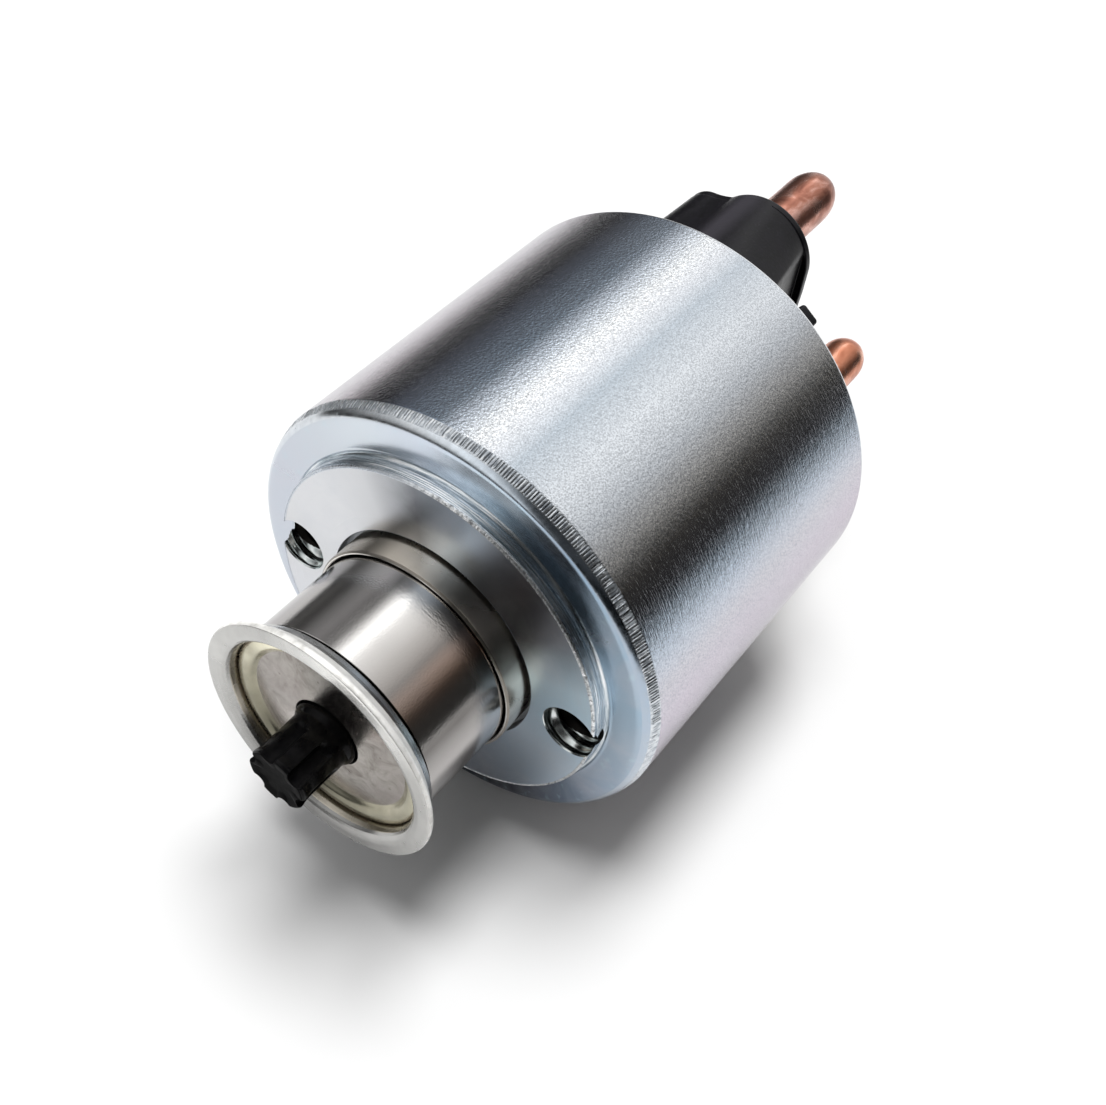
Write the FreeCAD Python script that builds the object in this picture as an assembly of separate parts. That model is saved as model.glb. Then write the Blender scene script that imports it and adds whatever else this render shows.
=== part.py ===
import FreeCAD, Part
import os
import math
from FreeCAD import Vector as V

# Starter solenoid. Millimetres. +X runs along the plunger, out of the front
# of the case; +Z is up with the two fixing screws level; the origin is where
# the plunger's axis meets the mounting face.

os.makedirs("parts", exist_ok=True)

# ---- case -------------------------------------------------------------
CASE_R = 28.0            # outside radius of the cup
CASE_IN_R = 26.0         # inside radius of the cup
CASE_REAR_X = -46.9      # rear edge, rolled in over the cap
FACE_R = 27.2            # outer edge of the mounting face
CORNER_X = -1.6          # where the front corner band ends
WALL_X = -5.0            # inside of the front wall
BOSS_R = 22.4            # locating boss
BOSS_X = 2.2
BORE_R = 14.2            # counterbore in the boss round the guide tube
BORE_DEPTH = 1.4
LIP_R = 25.0             # inside radius of the rolled rear lip
LIP_T = 1.5
# ---- fixing screw holes -------------------------------------------------
SCREW_Y = 19.5           # from the axis, one each side
SCREW_R = 3.0            # M6, drawn at its major diameter
SINK_R = 3.6             # countersink at the boss face
# ---- guide tube, coil -----------------------------------------------------
TUBE_OUT_R = 13.65
TUBE_IN_R = 13.1
TUBE_FRONT_X = 5.5
TUBE_REAR_X = -38.0
HUB_R = 14.7
BOBBIN_IN_R = 13.7
BOBBIN_FRONT_X = -6.0
BOBBIN_REAR_X = -38.0
FLANGE_T = 1.2
BOBBIN_R = 25.6
PULL_R = 18.6
HOLD_R = 23.6
WRAP_R = 24.1
# ---- yoke plate and fixed core ----------------------------------------------
YOKE_FRONT_X = -38.1
YOKE_REAR_X = -41.1
YOKE_R = 25.9
SPIGOT_R = 9.0
CORE_R = 13.0
CORE_FRONT_X = -29.0
ROD_BORE_R = 2.5
POCKET_R = 6.2
POCKET_X = -33.6
# ---- plunger --------------------------------------------------------------
PLUNGER_R = 13.0
PLUNGER_FRONT_X = 18.2
PLUNGER_REAR_X = -18.4
STROKE = 10.5
GROOVE_R = 12.3
GROOVE_W = 0.6
STEM_BORE_R = 6.5
STEM_BORE_X = 6.0
SPRING_BORE_R = 6.4
SPRING_BORE_X = -12.4
# ---- flanged cup on the plunger's end ------------------------------------------
CUP_R = 15.7
CUP_BACK_R = 13.6
CUP_FRONT_X = 21.35
CUP_FLOOR_X = 18.9
DISC_R = 10.9
DISC_X = 19.0
DISC_HOLE_R = 4.35
DISC_RISE = 0.45         # the disc is dished forward round its hole
# ---- stem -----------------------------------------------------------------
STEM_R = 3.7
STEM_ROOT_R = 2.95
STEM_END_R = 4.0         # ribs flare a little at the front
STEM_FRONT_X = 27.2
STEM_COLLAR_R = 6.0
STEM_COLLAR_X = 8.0
FLUTES = 6
# ---- contact rod ------------------------------------------------------------
ROD_R = 2.4
ROD_FRONT_X = -20.5
ROD_COLLAR_R = 4.8
ROD_COLLAR_FRONT_X = -34.0
ROD_COLLAR_REAR_X = -35.2
TAIL_R = 1.9
TAIL_REAR_X = -51.0
BRIDGE_R = 12.0
BRIDGE_FRONT_X = -43.2
BRIDGE_REAR_X = -44.7
# ---- cap --------------------------------------------------------------------
CAP_FLANGE_X = -41.9
CAP_R = 24.8
CAP_FLOOR_X = -49.2
CAP_REAR_X = -52.0
CHAMBER_R = 21.6
TOWER_X = -62.5
# ---- terminals ---------------------------------------------------------------
BAT_Y, BAT_Z = -1.0, 16.7
BAT_R = 3.5
BAT_TIP_X = -82.0
BAT_DOME = 5.2
BAT_NECK_R = 4.0
MOT_Y, MOT_Z = 13.9, 3.8
MOT_R = 3.0
MOT_TIP_X = -71.0
MOT_DOME = 3.8
MOT_NECK_R = 3.4
MOT_PAD_X = -54.0
HEAD_FRONT_X = -47.25

X = V(1, 0, 0)
O = V(0, 0, 0)


def cyl(x0, x1, r, y=0.0, z=0.0):
    """Solid round bar along X between x0 and x1."""
    a, b = min(x0, x1), max(x0, x1)
    return Part.makeCylinder(r, b - a, V(a, y, z), X)


def ring(x0, x1, r_out, r_in):
    return cyl(x0, x1, r_out).cut(cyl(min(x0, x1) - 1, max(x0, x1) + 1, r_in))


def box(x0, x1, y0, y1, z0, z1):
    return Part.makeBox(x1 - x0, y1 - y0, z1 - z0, V(x0, y0, z0))


def turned(points):
    """Revolve (x, r) points about the X axis."""
    vs = [V(x, r, 0) for x, r in points]
    vs.append(vs[0])
    face = Part.Face(Part.makePolygon(vs))
    return face.revolve(O, X, 360)


def turned_wire(edges):
    return Part.Face(Part.Wire(Part.__sortEdges__(edges))).revolve(O, X, 360)


def spring(x0, x1, mean_r, wire_r, turns):
    """Round-wire compression spring along X, its end faces at x0 and x1."""
    a, b = min(x0, x1), max(x0, x1)
    height = (b - a) - 2 * wire_r
    pitch = height / turns
    helix = Part.makeHelix(pitch, height, mean_r)
    rise = pitch / (2 * math.pi * mean_r)
    normal = V(0, 1, rise)
    normal.normalize()
    section = Part.Wire([Part.makeCircle(wire_r, V(mean_r, 0, 0), normal)])
    coil = Part.Wire(helix.Edges).makePipeShell([section], True, True)
    coil.rotate(O, V(0, 1, 0), 90)
    coil.translate(V(a + wire_r, 0, 0))
    if coil.Volume < 0:
        coil.reverse()
    return coil


def polar(r, deg):
    return r * math.cos(math.radians(deg)), r * math.sin(math.radians(deg))


def save(name, shape):
    solids = shape.Solids
    shape = solids[0] if len(solids) == 1 else Part.makeCompound(solids)
    ok = shape.isValid() and len(solids) >= 1
    box_ = shape.BoundBox
    print("%-26s solids %d valid %s vol %.1f  x %.2f..%.2f y %.2f..%.2f z %.2f..%.2f" % (
        name, len(solids), ok, shape.Volume, box_.XMin, box_.XMax, box_.YMin, box_.YMax, box_.ZMin, box_.ZMax))
    shape.exportStep("parts/" + name + ".step")
    return shape


# ---- solenoid case: one cold-formed cup, bored, tapped, rolled at the rear ----
case = turned([
    (BOSS_X, BORE_R), (BOSS_X, BOSS_R - 0.25), (BOSS_X - 0.25, BOSS_R), (0, BOSS_R), (0, FACE_R),
    (CORNER_X, CASE_R), (CASE_REAR_X + 0.6, CASE_R), (CASE_REAR_X + 0.15, CASE_R - 0.2), (CASE_REAR_X, CASE_R - 0.6),
    (CASE_REAR_X, LIP_R), (CASE_REAR_X + LIP_T, LIP_R), (CASE_REAR_X + LIP_T, CASE_IN_R),
    (WALL_X, CASE_IN_R), (WALL_X, TUBE_OUT_R), (BOSS_X - BORE_DEPTH, TUBE_OUT_R), (BOSS_X - BORE_DEPTH, BORE_R)])
for side in (-1, 1):
    case = case.cut(cyl(WALL_X - 1, BOSS_X + 1, SCREW_R, side * SCREW_Y, 0))
    sink = SINK_R - SCREW_R
    case = case.cut(Part.makeCone(SCREW_R, SINK_R + 0.5, sink + 0.5, V(BOSS_X - sink, side * SCREW_Y, 0), X))
save("solenoid_case", case)

# ---- guide tube the plunger runs in, standing proud of the boss ----
tube = turned([
    (TUBE_FRONT_X, TUBE_IN_R + 0.12), (TUBE_FRONT_X, TUBE_OUT_R - 0.2), (TUBE_FRONT_X - 0.25, TUBE_OUT_R),
    (TUBE_REAR_X, TUBE_OUT_R), (TUBE_REAR_X, TUBE_IN_R), (TUBE_FRONT_X - 0.15, TUBE_IN_R)])
save("guide_tube", tube)

# ---- coil: cushion ring, bobbin, two windings and their wrap ----
save("coil_cushion_ring", ring(WALL_X, BOBBIN_FRONT_X, 25.0, 18.0))

LEAD_R = 0.5
TRIG_LEAD = (-13.9, -8.0)
MOT_LEAD = (15.6, 4.3)
bobbin = turned([
    (BOBBIN_FRONT_X, BOBBIN_IN_R), (BOBBIN_FRONT_X, BOBBIN_R), (BOBBIN_FRONT_X - FLANGE_T, BOBBIN_R),
    (BOBBIN_FRONT_X - FLANGE_T, HUB_R), (BOBBIN_REAR_X + FLANGE_T, HUB_R), (BOBBIN_REAR_X + FLANGE_T, BOBBIN_R),
    (BOBBIN_REAR_X, BOBBIN_R), (BOBBIN_REAR_X, BOBBIN_IN_R)])
for y, z in (TRIG_LEAD, MOT_LEAD):
    bobbin = bobbin.cut(cyl(BOBBIN_REAR_X - 1, BOBBIN_REAR_X + FLANGE_T + 0.05, LEAD_R + 0.05, y, z))
save("coil_bobbin", bobbin)
WIND_FRONT_X = BOBBIN_FRONT_X - FLANGE_T
WIND_REAR_X = BOBBIN_REAR_X + FLANGE_T
save("pull_in_winding", ring(WIND_FRONT_X, WIND_REAR_X, PULL_R, HUB_R))
save("hold_in_winding", ring(WIND_FRONT_X, WIND_REAR_X, HOLD_R, PULL_R))
save("coil_wrap", ring(WIND_FRONT_X, WIND_REAR_X, WRAP_R, HOLD_R))

# ---- yoke plate that closes the magnetic circuit, with the fixed core in it ----
yoke = ring(YOKE_FRONT_X, YOKE_REAR_X, YOKE_R, SPIGOT_R)
for y, z in (TRIG_LEAD, MOT_LEAD):
    yoke = yoke.cut(cyl(YOKE_REAR_X - 1, YOKE_FRONT_X + 1, 1.1, y, z))
save("yoke_plate", yoke)
core = turned([
    (CORE_FRONT_X, ROD_BORE_R), (CORE_FRONT_X, CORE_R - 0.4), (CORE_FRONT_X - 0.4, CORE_R),
    (YOKE_FRONT_X, CORE_R), (YOKE_FRONT_X, SPIGOT_R), (YOKE_REAR_X, SPIGOT_R),
    (YOKE_REAR_X, POCKET_R), (POCKET_X, POCKET_R), (POCKET_X, ROD_BORE_R)])
save("fixed_core", core)

# ---- plunger: steel bar, bored at both ends, with a groove behind the cup ----
plunger = turned([
    (PLUNGER_FRONT_X, STEM_BORE_R), (PLUNGER_FRONT_X, GROOVE_R), (PLUNGER_FRONT_X - GROOVE_W, GROOVE_R),
    (PLUNGER_FRONT_X - GROOVE_W, PLUNGER_R - 0.15), (PLUNGER_FRONT_X - GROOVE_W - 0.15, PLUNGER_R),
    (PLUNGER_REAR_X + 0.4, PLUNGER_R), (PLUNGER_REAR_X, PLUNGER_R - 0.4), (PLUNGER_REAR_X, SPRING_BORE_R),
    (SPRING_BORE_X, SPRING_BORE_R), (SPRING_BORE_X, 0), (STEM_BORE_X, 0), (STEM_BORE_X, STEM_BORE_R)])
save("plunger", plunger)

# ---- flanged cup: pressed steel, flared rim, floor seated on the plunger ----
cup = turned([
    (PLUNGER_FRONT_X, 11.0), (PLUNGER_FRONT_X, CUP_BACK_R - 0.25), (PLUNGER_FRONT_X + 0.2, CUP_BACK_R),
    (18.9, 13.85), (19.5, 14.3), (20.1, 14.8), (20.6, 15.25), (20.95, 15.58), (21.15, CUP_R), (21.27, 15.62), (CUP_FRONT_X, 15.4),
    (CUP_FRONT_X, 14.2), (21.3, 13.8), (21.15, 13.5), (20.85, 13.28), (20.4, 13.15), (19.2, 13.05),
    (19.0, 13.0), (CUP_FLOOR_X, 12.9), (CUP_FLOOR_X, 11.0)])
save("plunger_cup", cup)

# ---- rounded ring that holds the disc down in the cup ----
p = [V(CUP_FLOOR_X, 11.0, 0), V(CUP_FLOOR_X, 12.85, 0), V(19.05, 12.95, 0), V(19.75, 11.95, 0), V(19.3, 10.85, 0),
     V(DISC_X, 10.5, 0), V(DISC_X, 11.0, 0)]
bead = turned_wire([
    Part.makeLine(p[0], p[1]), Part.makeLine(p[1], p[2]),
    Part.Arc(p[2], V(19.57, 12.62, 0), p[3]).toShape(),
    Part.Arc(p[3], V(19.64, 11.3, 0), p[4]).toShape(),
    Part.makeLine(p[4], p[5]), Part.makeLine(p[5], p[6]), Part.makeLine(p[6], p[0])])
save("cup_retaining_ring", bead)

# ---- flat disc closing the plunger's front bore ----
save("plunger_end_disc", turned([
    (PLUNGER_FRONT_X, DISC_R), (DISC_X, DISC_R), (DISC_X, 10.6), (DISC_X + DISC_RISE, DISC_HOLE_R),
    (PLUNGER_FRONT_X + DISC_RISE, DISC_HOLE_R), (PLUNGER_FRONT_X, 10.6)]))

# ---- fluted plastic stem with a collar inside the plunger ----
stem = turned([
    (STEM_BORE_X, 0), (STEM_BORE_X, STEM_COLLAR_R), (STEM_COLLAR_X, STEM_COLLAR_R), (STEM_COLLAR_X, STEM_R),
    (STEM_FRONT_X - 1.6, STEM_R), (STEM_FRONT_X - 0.5, STEM_END_R), (STEM_FRONT_X - 0.2, STEM_END_R), (STEM_FRONT_X, STEM_END_R - 0.2),
    (STEM_FRONT_X, 0)])
for k in range(FLUTES):
    deg = 46.0 + k * 360.0 / FLUTES
    y, z = polar(STEM_ROOT_R + 0.9, deg)
    stem = stem.cut(cyl(STEM_COLLAR_X + 1.0, STEM_FRONT_X + 1, 0.9, y, z))
save("engagement_stem", stem)

# ---- springs ----
save("engagement_spring", spring(STEM_COLLAR_X, 18.56, 5.0, 0.45, 6))
save("return_spring", spring(CORE_FRONT_X, SPRING_BORE_X, 5.2, 0.5, 5))

# ---- contact carriage: rod, bushes, bridge, clip and pressure spring ----
CLIP_FRONT_X, CLIP_REAR_X, CLIP_GROOVE_R = -45.9, -46.6, 1.5
rod = turned([
    (ROD_FRONT_X, 0), (ROD_FRONT_X, ROD_R - 0.5), (ROD_FRONT_X - 0.5, ROD_R), (ROD_COLLAR_FRONT_X, ROD_R),
    (ROD_COLLAR_FRONT_X, ROD_COLLAR_R), (ROD_COLLAR_REAR_X, ROD_COLLAR_R), (ROD_COLLAR_REAR_X, TAIL_R),
    (CLIP_FRONT_X, TAIL_R), (CLIP_FRONT_X, CLIP_GROOVE_R), (CLIP_REAR_X, CLIP_GROOVE_R), (CLIP_REAR_X, TAIL_R),
    (TAIL_REAR_X + 0.4, TAIL_R), (TAIL_REAR_X, TAIL_R - 0.4), (TAIL_REAR_X, 0)])
save("contact_rod", rod)
save("insulating_bush", turned([
    (-42.0, TAIL_R), (-42.0, 4.8), (BRIDGE_FRONT_X, 4.8), (BRIDGE_FRONT_X, 3.0), (-44.9, 3.0), (-44.9, TAIL_R)]))
save("contact_disc", turned([
    (BRIDGE_FRONT_X, 3.0), (BRIDGE_FRONT_X, BRIDGE_R - 0.3), (BRIDGE_FRONT_X - 0.3, BRIDGE_R),
    (BRIDGE_REAR_X + 0.3, BRIDGE_R), (BRIDGE_REAR_X, BRIDGE_R - 0.3), (BRIDGE_REAR_X, 3.0)]))
save("insulating_washer", ring(-44.9, CLIP_FRONT_X, 4.8, TAIL_R))
clip = ring(CLIP_FRONT_X, CLIP_REAR_X, 3.7, CLIP_GROOVE_R)
clip = clip.cut(box(CLIP_REAR_X - 1, CLIP_FRONT_X + 1, -1.2, 1.2, -5, 0))
save("retaining_clip", clip)
save("contact_pressure_spring", spring(-42.0, ROD_COLLAR_REAR_X, 4.0, 0.45, 4.5))
POCKET_END_X = -56.5
save("contact_return_spring", spring(POCKET_END_X, CLIP_REAR_X, 2.75, 0.35, 6))

# ---- gasket ----
save("cap_gasket", ring(YOKE_REAR_X, CAP_FLANGE_X, 25.9, 22.2))

# ---- terminal cap: moulded in one piece ----
cap = turned([
    (CAP_FLANGE_X, 0), (CAP_FLANGE_X, 25.9), (CASE_REAR_X + LIP_T, 25.9), (CASE_REAR_X + LIP_T, CAP_R),
    (-49.5, CAP_R), (CAP_REAR_X, 22.3), (CAP_REAR_X, 0)])
# centre boss over the rear spring
cap = cap.fuse(turned([(CAP_REAR_X + 1, 0), (CAP_REAR_X + 1, 6.4), (-57.6, 6.2), (-58.5, 5.3), (-58.5, 0)]))


def section(x, pts):
    """Closed outline in a plane across X: lines between plain points, an arc through each point marked with a
    third value."""
    edges = []
    i = 0
    n = len(pts)
    while i < n:
        a = pts[i]
        b = pts[(i + 1) % n]
        if len(b) == 3:
            c = pts[(i + 2) % n]
            edges.append(Part.Arc(V(x, a[0], a[1]), V(x, b[0], b[1]), V(x, c[0], c[1])).toShape())
            i += 2
        else:
            edges.append(Part.makeLine(V(x, a[0], a[1]), V(x, b[0], b[1])))
            i += 1
    return Part.Wire(edges)


# battery terminal tower: round lobe over the stud, a smaller lobe beside it,
# a drafted flat on the other side
tower_end = section(TOWER_X, [
    (6.0, 20.9), (0.2, 24.85, 1), (-5.3, 22.75), (-6.5, 22.35, 1), (-7.6, 22.1), (-10.1, 20.9, 1), (-10.75, 18.4),
    (-10.75, 11.5), (-9.9, 9.4, 1), (-7.8, 8.6), (3.6, 8.6), (5.6, 9.3, 1), (6.4, 11.2)])
tower_base = section(-47.5, [
    (8.35, 23.3), (0.6, 24.9, 1), (-5.2, 23.05), (-6.5, 22.75, 1), (-7.8, 22.5), (-10.4, 21.2, 1), (-11.1, 18.4),
    (-11.1, 11.5), (-10.2, 8.9, 1), (-7.8, 8.0), (5.8, 8.0), (8.0, 8.9, 1), (8.9, 11.2)])
tower = Part.makeLoft([tower_base, tower_end], True, True)
# lip round the flat side of the tower's end
lip = Part.Face(section(TOWER_X, [
    (0.0, 24.85), (4.9, 22.9, 1), (7.25, 18.6), (7.45, 15.0), (7.45, 11.5), (6.6, 9.5, 1), (4.6, 8.6), (0.0, 8.6)])).extrude(V(1.3, 0, 0))
cap = cap.fuse(tower).fuse(lip)
# pad round the motor stud, with a web to the centre boss
cap = cap.fuse(turned([(CAP_REAR_X + 1, 0), (CAP_REAR_X + 1, 7.2), (-53.6, 7.0), (MOT_PAD_X, 6.6), (MOT_PAD_X, 0)]).translated(V(0, MOT_Y, MOT_Z)))
cap = cap.fuse(box(MOT_PAD_X + 0.4, CAP_REAR_X + 1, 4.0, 12.0, 0.4, 4.4))
# small lug at the rim beside the tower
lug = box(-51.2, -47.0, -1.3, 1.3, 21.4, 24.3)
lug.rotate(O, X, -31.0)
cap = cap.fuse(lug)
# foot round the trigger blade
SPADE_Y0, SPADE_Y1 = -15.4, -14.6
SPADE_Z0, SPADE_Z1 = -8.65, -2.35
cap = cap.fuse(box(-54.2, CAP_REAR_X + 1, -17.4, -12.6, -10.2, -0.8))
# stiffening ribs on the hidden lower half
for deg in (212, 244, 276, 308):
    rib = box(-53.2, CAP_REAR_X + 1, 6.0, 21.0, -0.8, 0.8)
    rib.rotate(O, X, deg)
    cap = cap.fuse(rib)
# contact chamber, rear spring pocket and stud holes
cap = cap.cut(cyl(CAP_FLANGE_X + 1, CAP_FLOOR_X, CHAMBER_R))
cap = cap.cut(cyl(CAP_FLOOR_X + 1, POCKET_END_X, 4.4))
cap = cap.cut(cyl(CAP_FLOOR_X + 1, TOWER_X - 1, BAT_NECK_R, BAT_Y, BAT_Z))
cap = cap.cut(cyl(CAP_FLOOR_X + 1, MOT_PAD_X - 1, MOT_NECK_R, MOT_Y, MOT_Z))
# seats for the stud seals
cap = cap.cut(cyl(CAP_FLOOR_X + 1, CAP_FLOOR_X - 1.5, 5.6, BAT_Y, BAT_Z))
cap = cap.cut(cyl(CAP_FLOOR_X + 1, CAP_FLOOR_X - 1.4, 4.9, MOT_Y, MOT_Z))

# ---- trigger blade, moulded through the cap ----
spade = box(-63.0, -48.4, SPADE_Y0, SPADE_Y1, SPADE_Z0, SPADE_Z1)
for dz in (-1, 1):
    zc = (SPADE_Z0 + SPADE_Z1) / 2 + dz * 3.15
    wedge = Part.Face(Part.makePolygon([V(-63.0, SPADE_Y0 - 1, zc), V(-61.6, SPADE_Y0 - 1, zc),
                                        V(-63.0, SPADE_Y0 - 1, zc - dz * 1.1), V(-63.0, SPADE_Y0 - 1, zc)])).extrude(V(0, 3, 0))
    spade = spade.cut(wedge)
spade = spade.cut(Part.makeCylinder(0.9, 3, V(-59.2, SPADE_Y0 - 1, (SPADE_Z0 + SPADE_Z1) / 2), V(0, 1, 0)))
spade = spade.fuse(box(CAP_FLOOR_X, -48.4, SPADE_Y0, -9.6, SPADE_Z0, SPADE_Z1)).removeSplitter()
cap = cap.cut(box(-60.0, -48.0, SPADE_Y0, SPADE_Y1, SPADE_Z0, SPADE_Z1)).removeSplitter()
save("terminal_cap", cap)
save("trigger_blade", spade)


# ---- copper studs: cold-headed, dome-ended ----
def stud(y, z, r, tip, dome, neck_r, neck_x, head_in, head_w):
    pts = [(HEAD_FRONT_X - 0.5, 0), (HEAD_FRONT_X - 0.5, neck_r), (neck_x, neck_r), (neck_x, r)]
    body = turned_wire([
        Part.makeLine(V(*pts[0], 0), V(*pts[1], 0)), Part.makeLine(V(*pts[1], 0), V(*pts[2], 0)),
        Part.makeLine(V(*pts[2], 0), V(*pts[3], 0)), Part.makeLine(V(neck_x, r, 0), V(tip + dome, r, 0)),
        dome_edge(tip, dome, r), Part.makeLine(V(tip, 0, 0), V(HEAD_FRONT_X - 0.5, 0, 0))])
    body.translate(V(0, y, z))
    dist = math.hypot(y, z)
    head = box(CAP_FLOOR_X, HEAD_FRONT_X, head_in, dist + neck_r + 0.6, -head_w / 2, head_w / 2)
    head.rotate(O, X, math.degrees(math.atan2(z, y)))
    head = head.common(cyl(CAP_FLOOR_X, HEAD_FRONT_X, CHAMBER_R - 0.3))
    return body.fuse(head).removeSplitter()


def dome_edge(tip, dome, r):
    """Quarter ellipse from the bar's side to its tip on the axis; the dome is longer than the radius."""
    return Part.Ellipse(V(tip + dome, 0, 0), dome, r).toShape(math.pi / 2, math.pi)


save("battery_stud", stud(BAT_Y, BAT_Z, BAT_R, BAT_TIP_X, BAT_DOME, BAT_NECK_R, TOWER_X - 0.9, 8.0, 11.0))
save("motor_stud", stud(MOT_Y, MOT_Z, MOT_R, MOT_TIP_X, MOT_DOME, MOT_NECK_R, MOT_PAD_X - 0.9, 8.0, 9.0))


# ---- seals under the stud heads, push-on rings outside ----
def seal(y, z, r_in, thick):
    return Part.makeTorus(r_in + thick / 2, thick / 2, V(CAP_FLOOR_X - thick / 2, y, z), X)


def push_ring(y, z, r_in, r_out, x_front, x_rear):
    """Spring-steel star ring: slit inner tongues on the stud's neck."""
    r = cyl(x_front, x_rear, r_out).cut(cyl(x_front + 1, x_rear - 1, r_in))
    for k in range(6):
        slot = box(x_rear - 1, x_front + 1, 0, r_in + (r_out - r_in) * 0.55, -0.35, 0.35)
        slot.rotate(O, X, 30 + 60 * k)
        r = r.cut(slot)
    r.translate(V(0, y, z))
    return r


save("battery_stud_seal", seal(BAT_Y, BAT_Z, BAT_NECK_R, 1.45))
save("motor_stud_seal", seal(MOT_Y, MOT_Z, MOT_NECK_R, 1.35))
save("battery_stud_ring", push_ring(BAT_Y, BAT_Z, BAT_NECK_R, 6.4, TOWER_X, TOWER_X - 0.8))
save("motor_stud_ring", push_ring(MOT_Y, MOT_Z, MOT_NECK_R, 5.6, MOT_PAD_X, MOT_PAD_X - 0.8))

# ---- winding leads through the yoke plate ----
save("trigger_lead", cyl(WIND_REAR_X, -48.4, LEAD_R, *TRIG_LEAD))
save("motor_lead", cyl(WIND_REAR_X, HEAD_FRONT_X, LEAD_R, *MOT_LEAD))
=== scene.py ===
import bpy
import bmesh
import math
import numpy as np
from mathutils import Matrix, Vector


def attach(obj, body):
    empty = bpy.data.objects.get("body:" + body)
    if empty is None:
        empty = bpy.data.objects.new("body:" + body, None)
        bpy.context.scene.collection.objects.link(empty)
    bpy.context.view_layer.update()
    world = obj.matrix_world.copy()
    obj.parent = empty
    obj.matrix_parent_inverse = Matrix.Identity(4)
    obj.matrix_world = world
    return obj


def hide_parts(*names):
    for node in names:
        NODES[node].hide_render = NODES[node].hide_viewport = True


# Looks of the starter solenoid. Lengths in this file are millimetres and are turned into metres when a mesh is made.
# +X runs along the plunger, out of the front of the case; +Z is up.

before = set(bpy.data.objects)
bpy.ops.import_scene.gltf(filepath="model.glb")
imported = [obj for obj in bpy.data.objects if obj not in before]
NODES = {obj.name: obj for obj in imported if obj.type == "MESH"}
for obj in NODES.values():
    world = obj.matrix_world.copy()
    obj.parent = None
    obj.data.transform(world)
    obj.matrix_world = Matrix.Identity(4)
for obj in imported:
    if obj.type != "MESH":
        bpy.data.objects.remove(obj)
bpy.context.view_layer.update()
MM = 0.001
RNG = np.random.default_rng(41)


# ------------------------------------------------------------------ profiles
def rounded(points, closed=True, step=11.0, hold=0.04):
    """Profile from (x, r) or (x, r, fillet) points. A short straight piece is kept at both ends of every fillet, so
    the flat faces beside it shade flat."""
    n = len(points)
    out = []
    for i, p in enumerate(points):
        b = Vector(p[:2])
        f = p[2] if len(p) > 2 else 0.0
        if f <= 0 or (not closed and i in (0, n - 1)):
            out.append((b.x, b.y))
            continue
        a = Vector(points[i - 1][:2])
        c = Vector(points[(i + 1) % n][:2])
        u, v = a - b, c - b
        lu, lv = u.length, v.length
        u.normalize()
        v.normalize()
        ang = u.angle(v)
        if ang > math.pi - 0.02:
            out.append((b.x, b.y))
            continue
        t = min(f / math.tan(ang / 2), 0.46 * lu, 0.46 * lv)
        f = t * math.tan(ang / 2)
        mid = b + (u + v).normalized() * (f / math.sin(ang / 2))
        s, e = b + u * t, b + v * t
        a0 = math.atan2(s.y - mid.y, s.x - mid.x)
        a1 = math.atan2(e.y - mid.y, e.x - mid.x)
        da = (a1 - a0 + math.pi) % (2 * math.pi) - math.pi
        k = max(2, int(math.ceil(abs(math.degrees(da)) / step)))
        if t + hold < 0.49 * lu:
            q = b + u * (t + hold)
            out.append((q.x, q.y))
        for j in range(k + 1):
            w = a0 + da * j / k
            out.append((mid.x + f * math.cos(w), mid.y + f * math.sin(w)))
        if t + hold < 0.49 * lv:
            q = b + v * (t + hold)
            out.append((q.x, q.y))
    return out


def cosines(ang, low, high, count, rng, power=1.0):
    """Smooth closed noise round a circle, about -1 to 1."""
    out = np.zeros_like(ang)
    for _ in range(count):
        k = int(rng.integers(low, high + 1))
        out += np.cos(k * ang + rng.uniform(0, 2 * math.pi)) * rng.uniform(0.4, 1.0) / k ** (power - 1.0)
    return out / (np.abs(out).max() + 1e-9)


# ------------------------------------------------------------------ meshes
def make_object(name, verts, faces, mats, index=None, sharp=24.0):
    """Mesh object from millimetre vertices."""
    me = bpy.data.meshes.new(name)
    me.from_pydata((np.asarray(verts, float) * MM).tolist(), [], faces)
    for m in mats:
        me.materials.append(m)
    if index is not None:
        me.polygons.foreach_set("material_index", np.asarray(index, np.int32))
    me.polygons.foreach_set("use_smooth", np.ones(len(me.polygons), bool))
    me.update()
    me.set_sharp_from_angle(angle=math.radians(sharp))
    ob = bpy.data.objects.new(name, me)
    bpy.context.scene.collection.objects.link(ob)
    return ob


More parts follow.
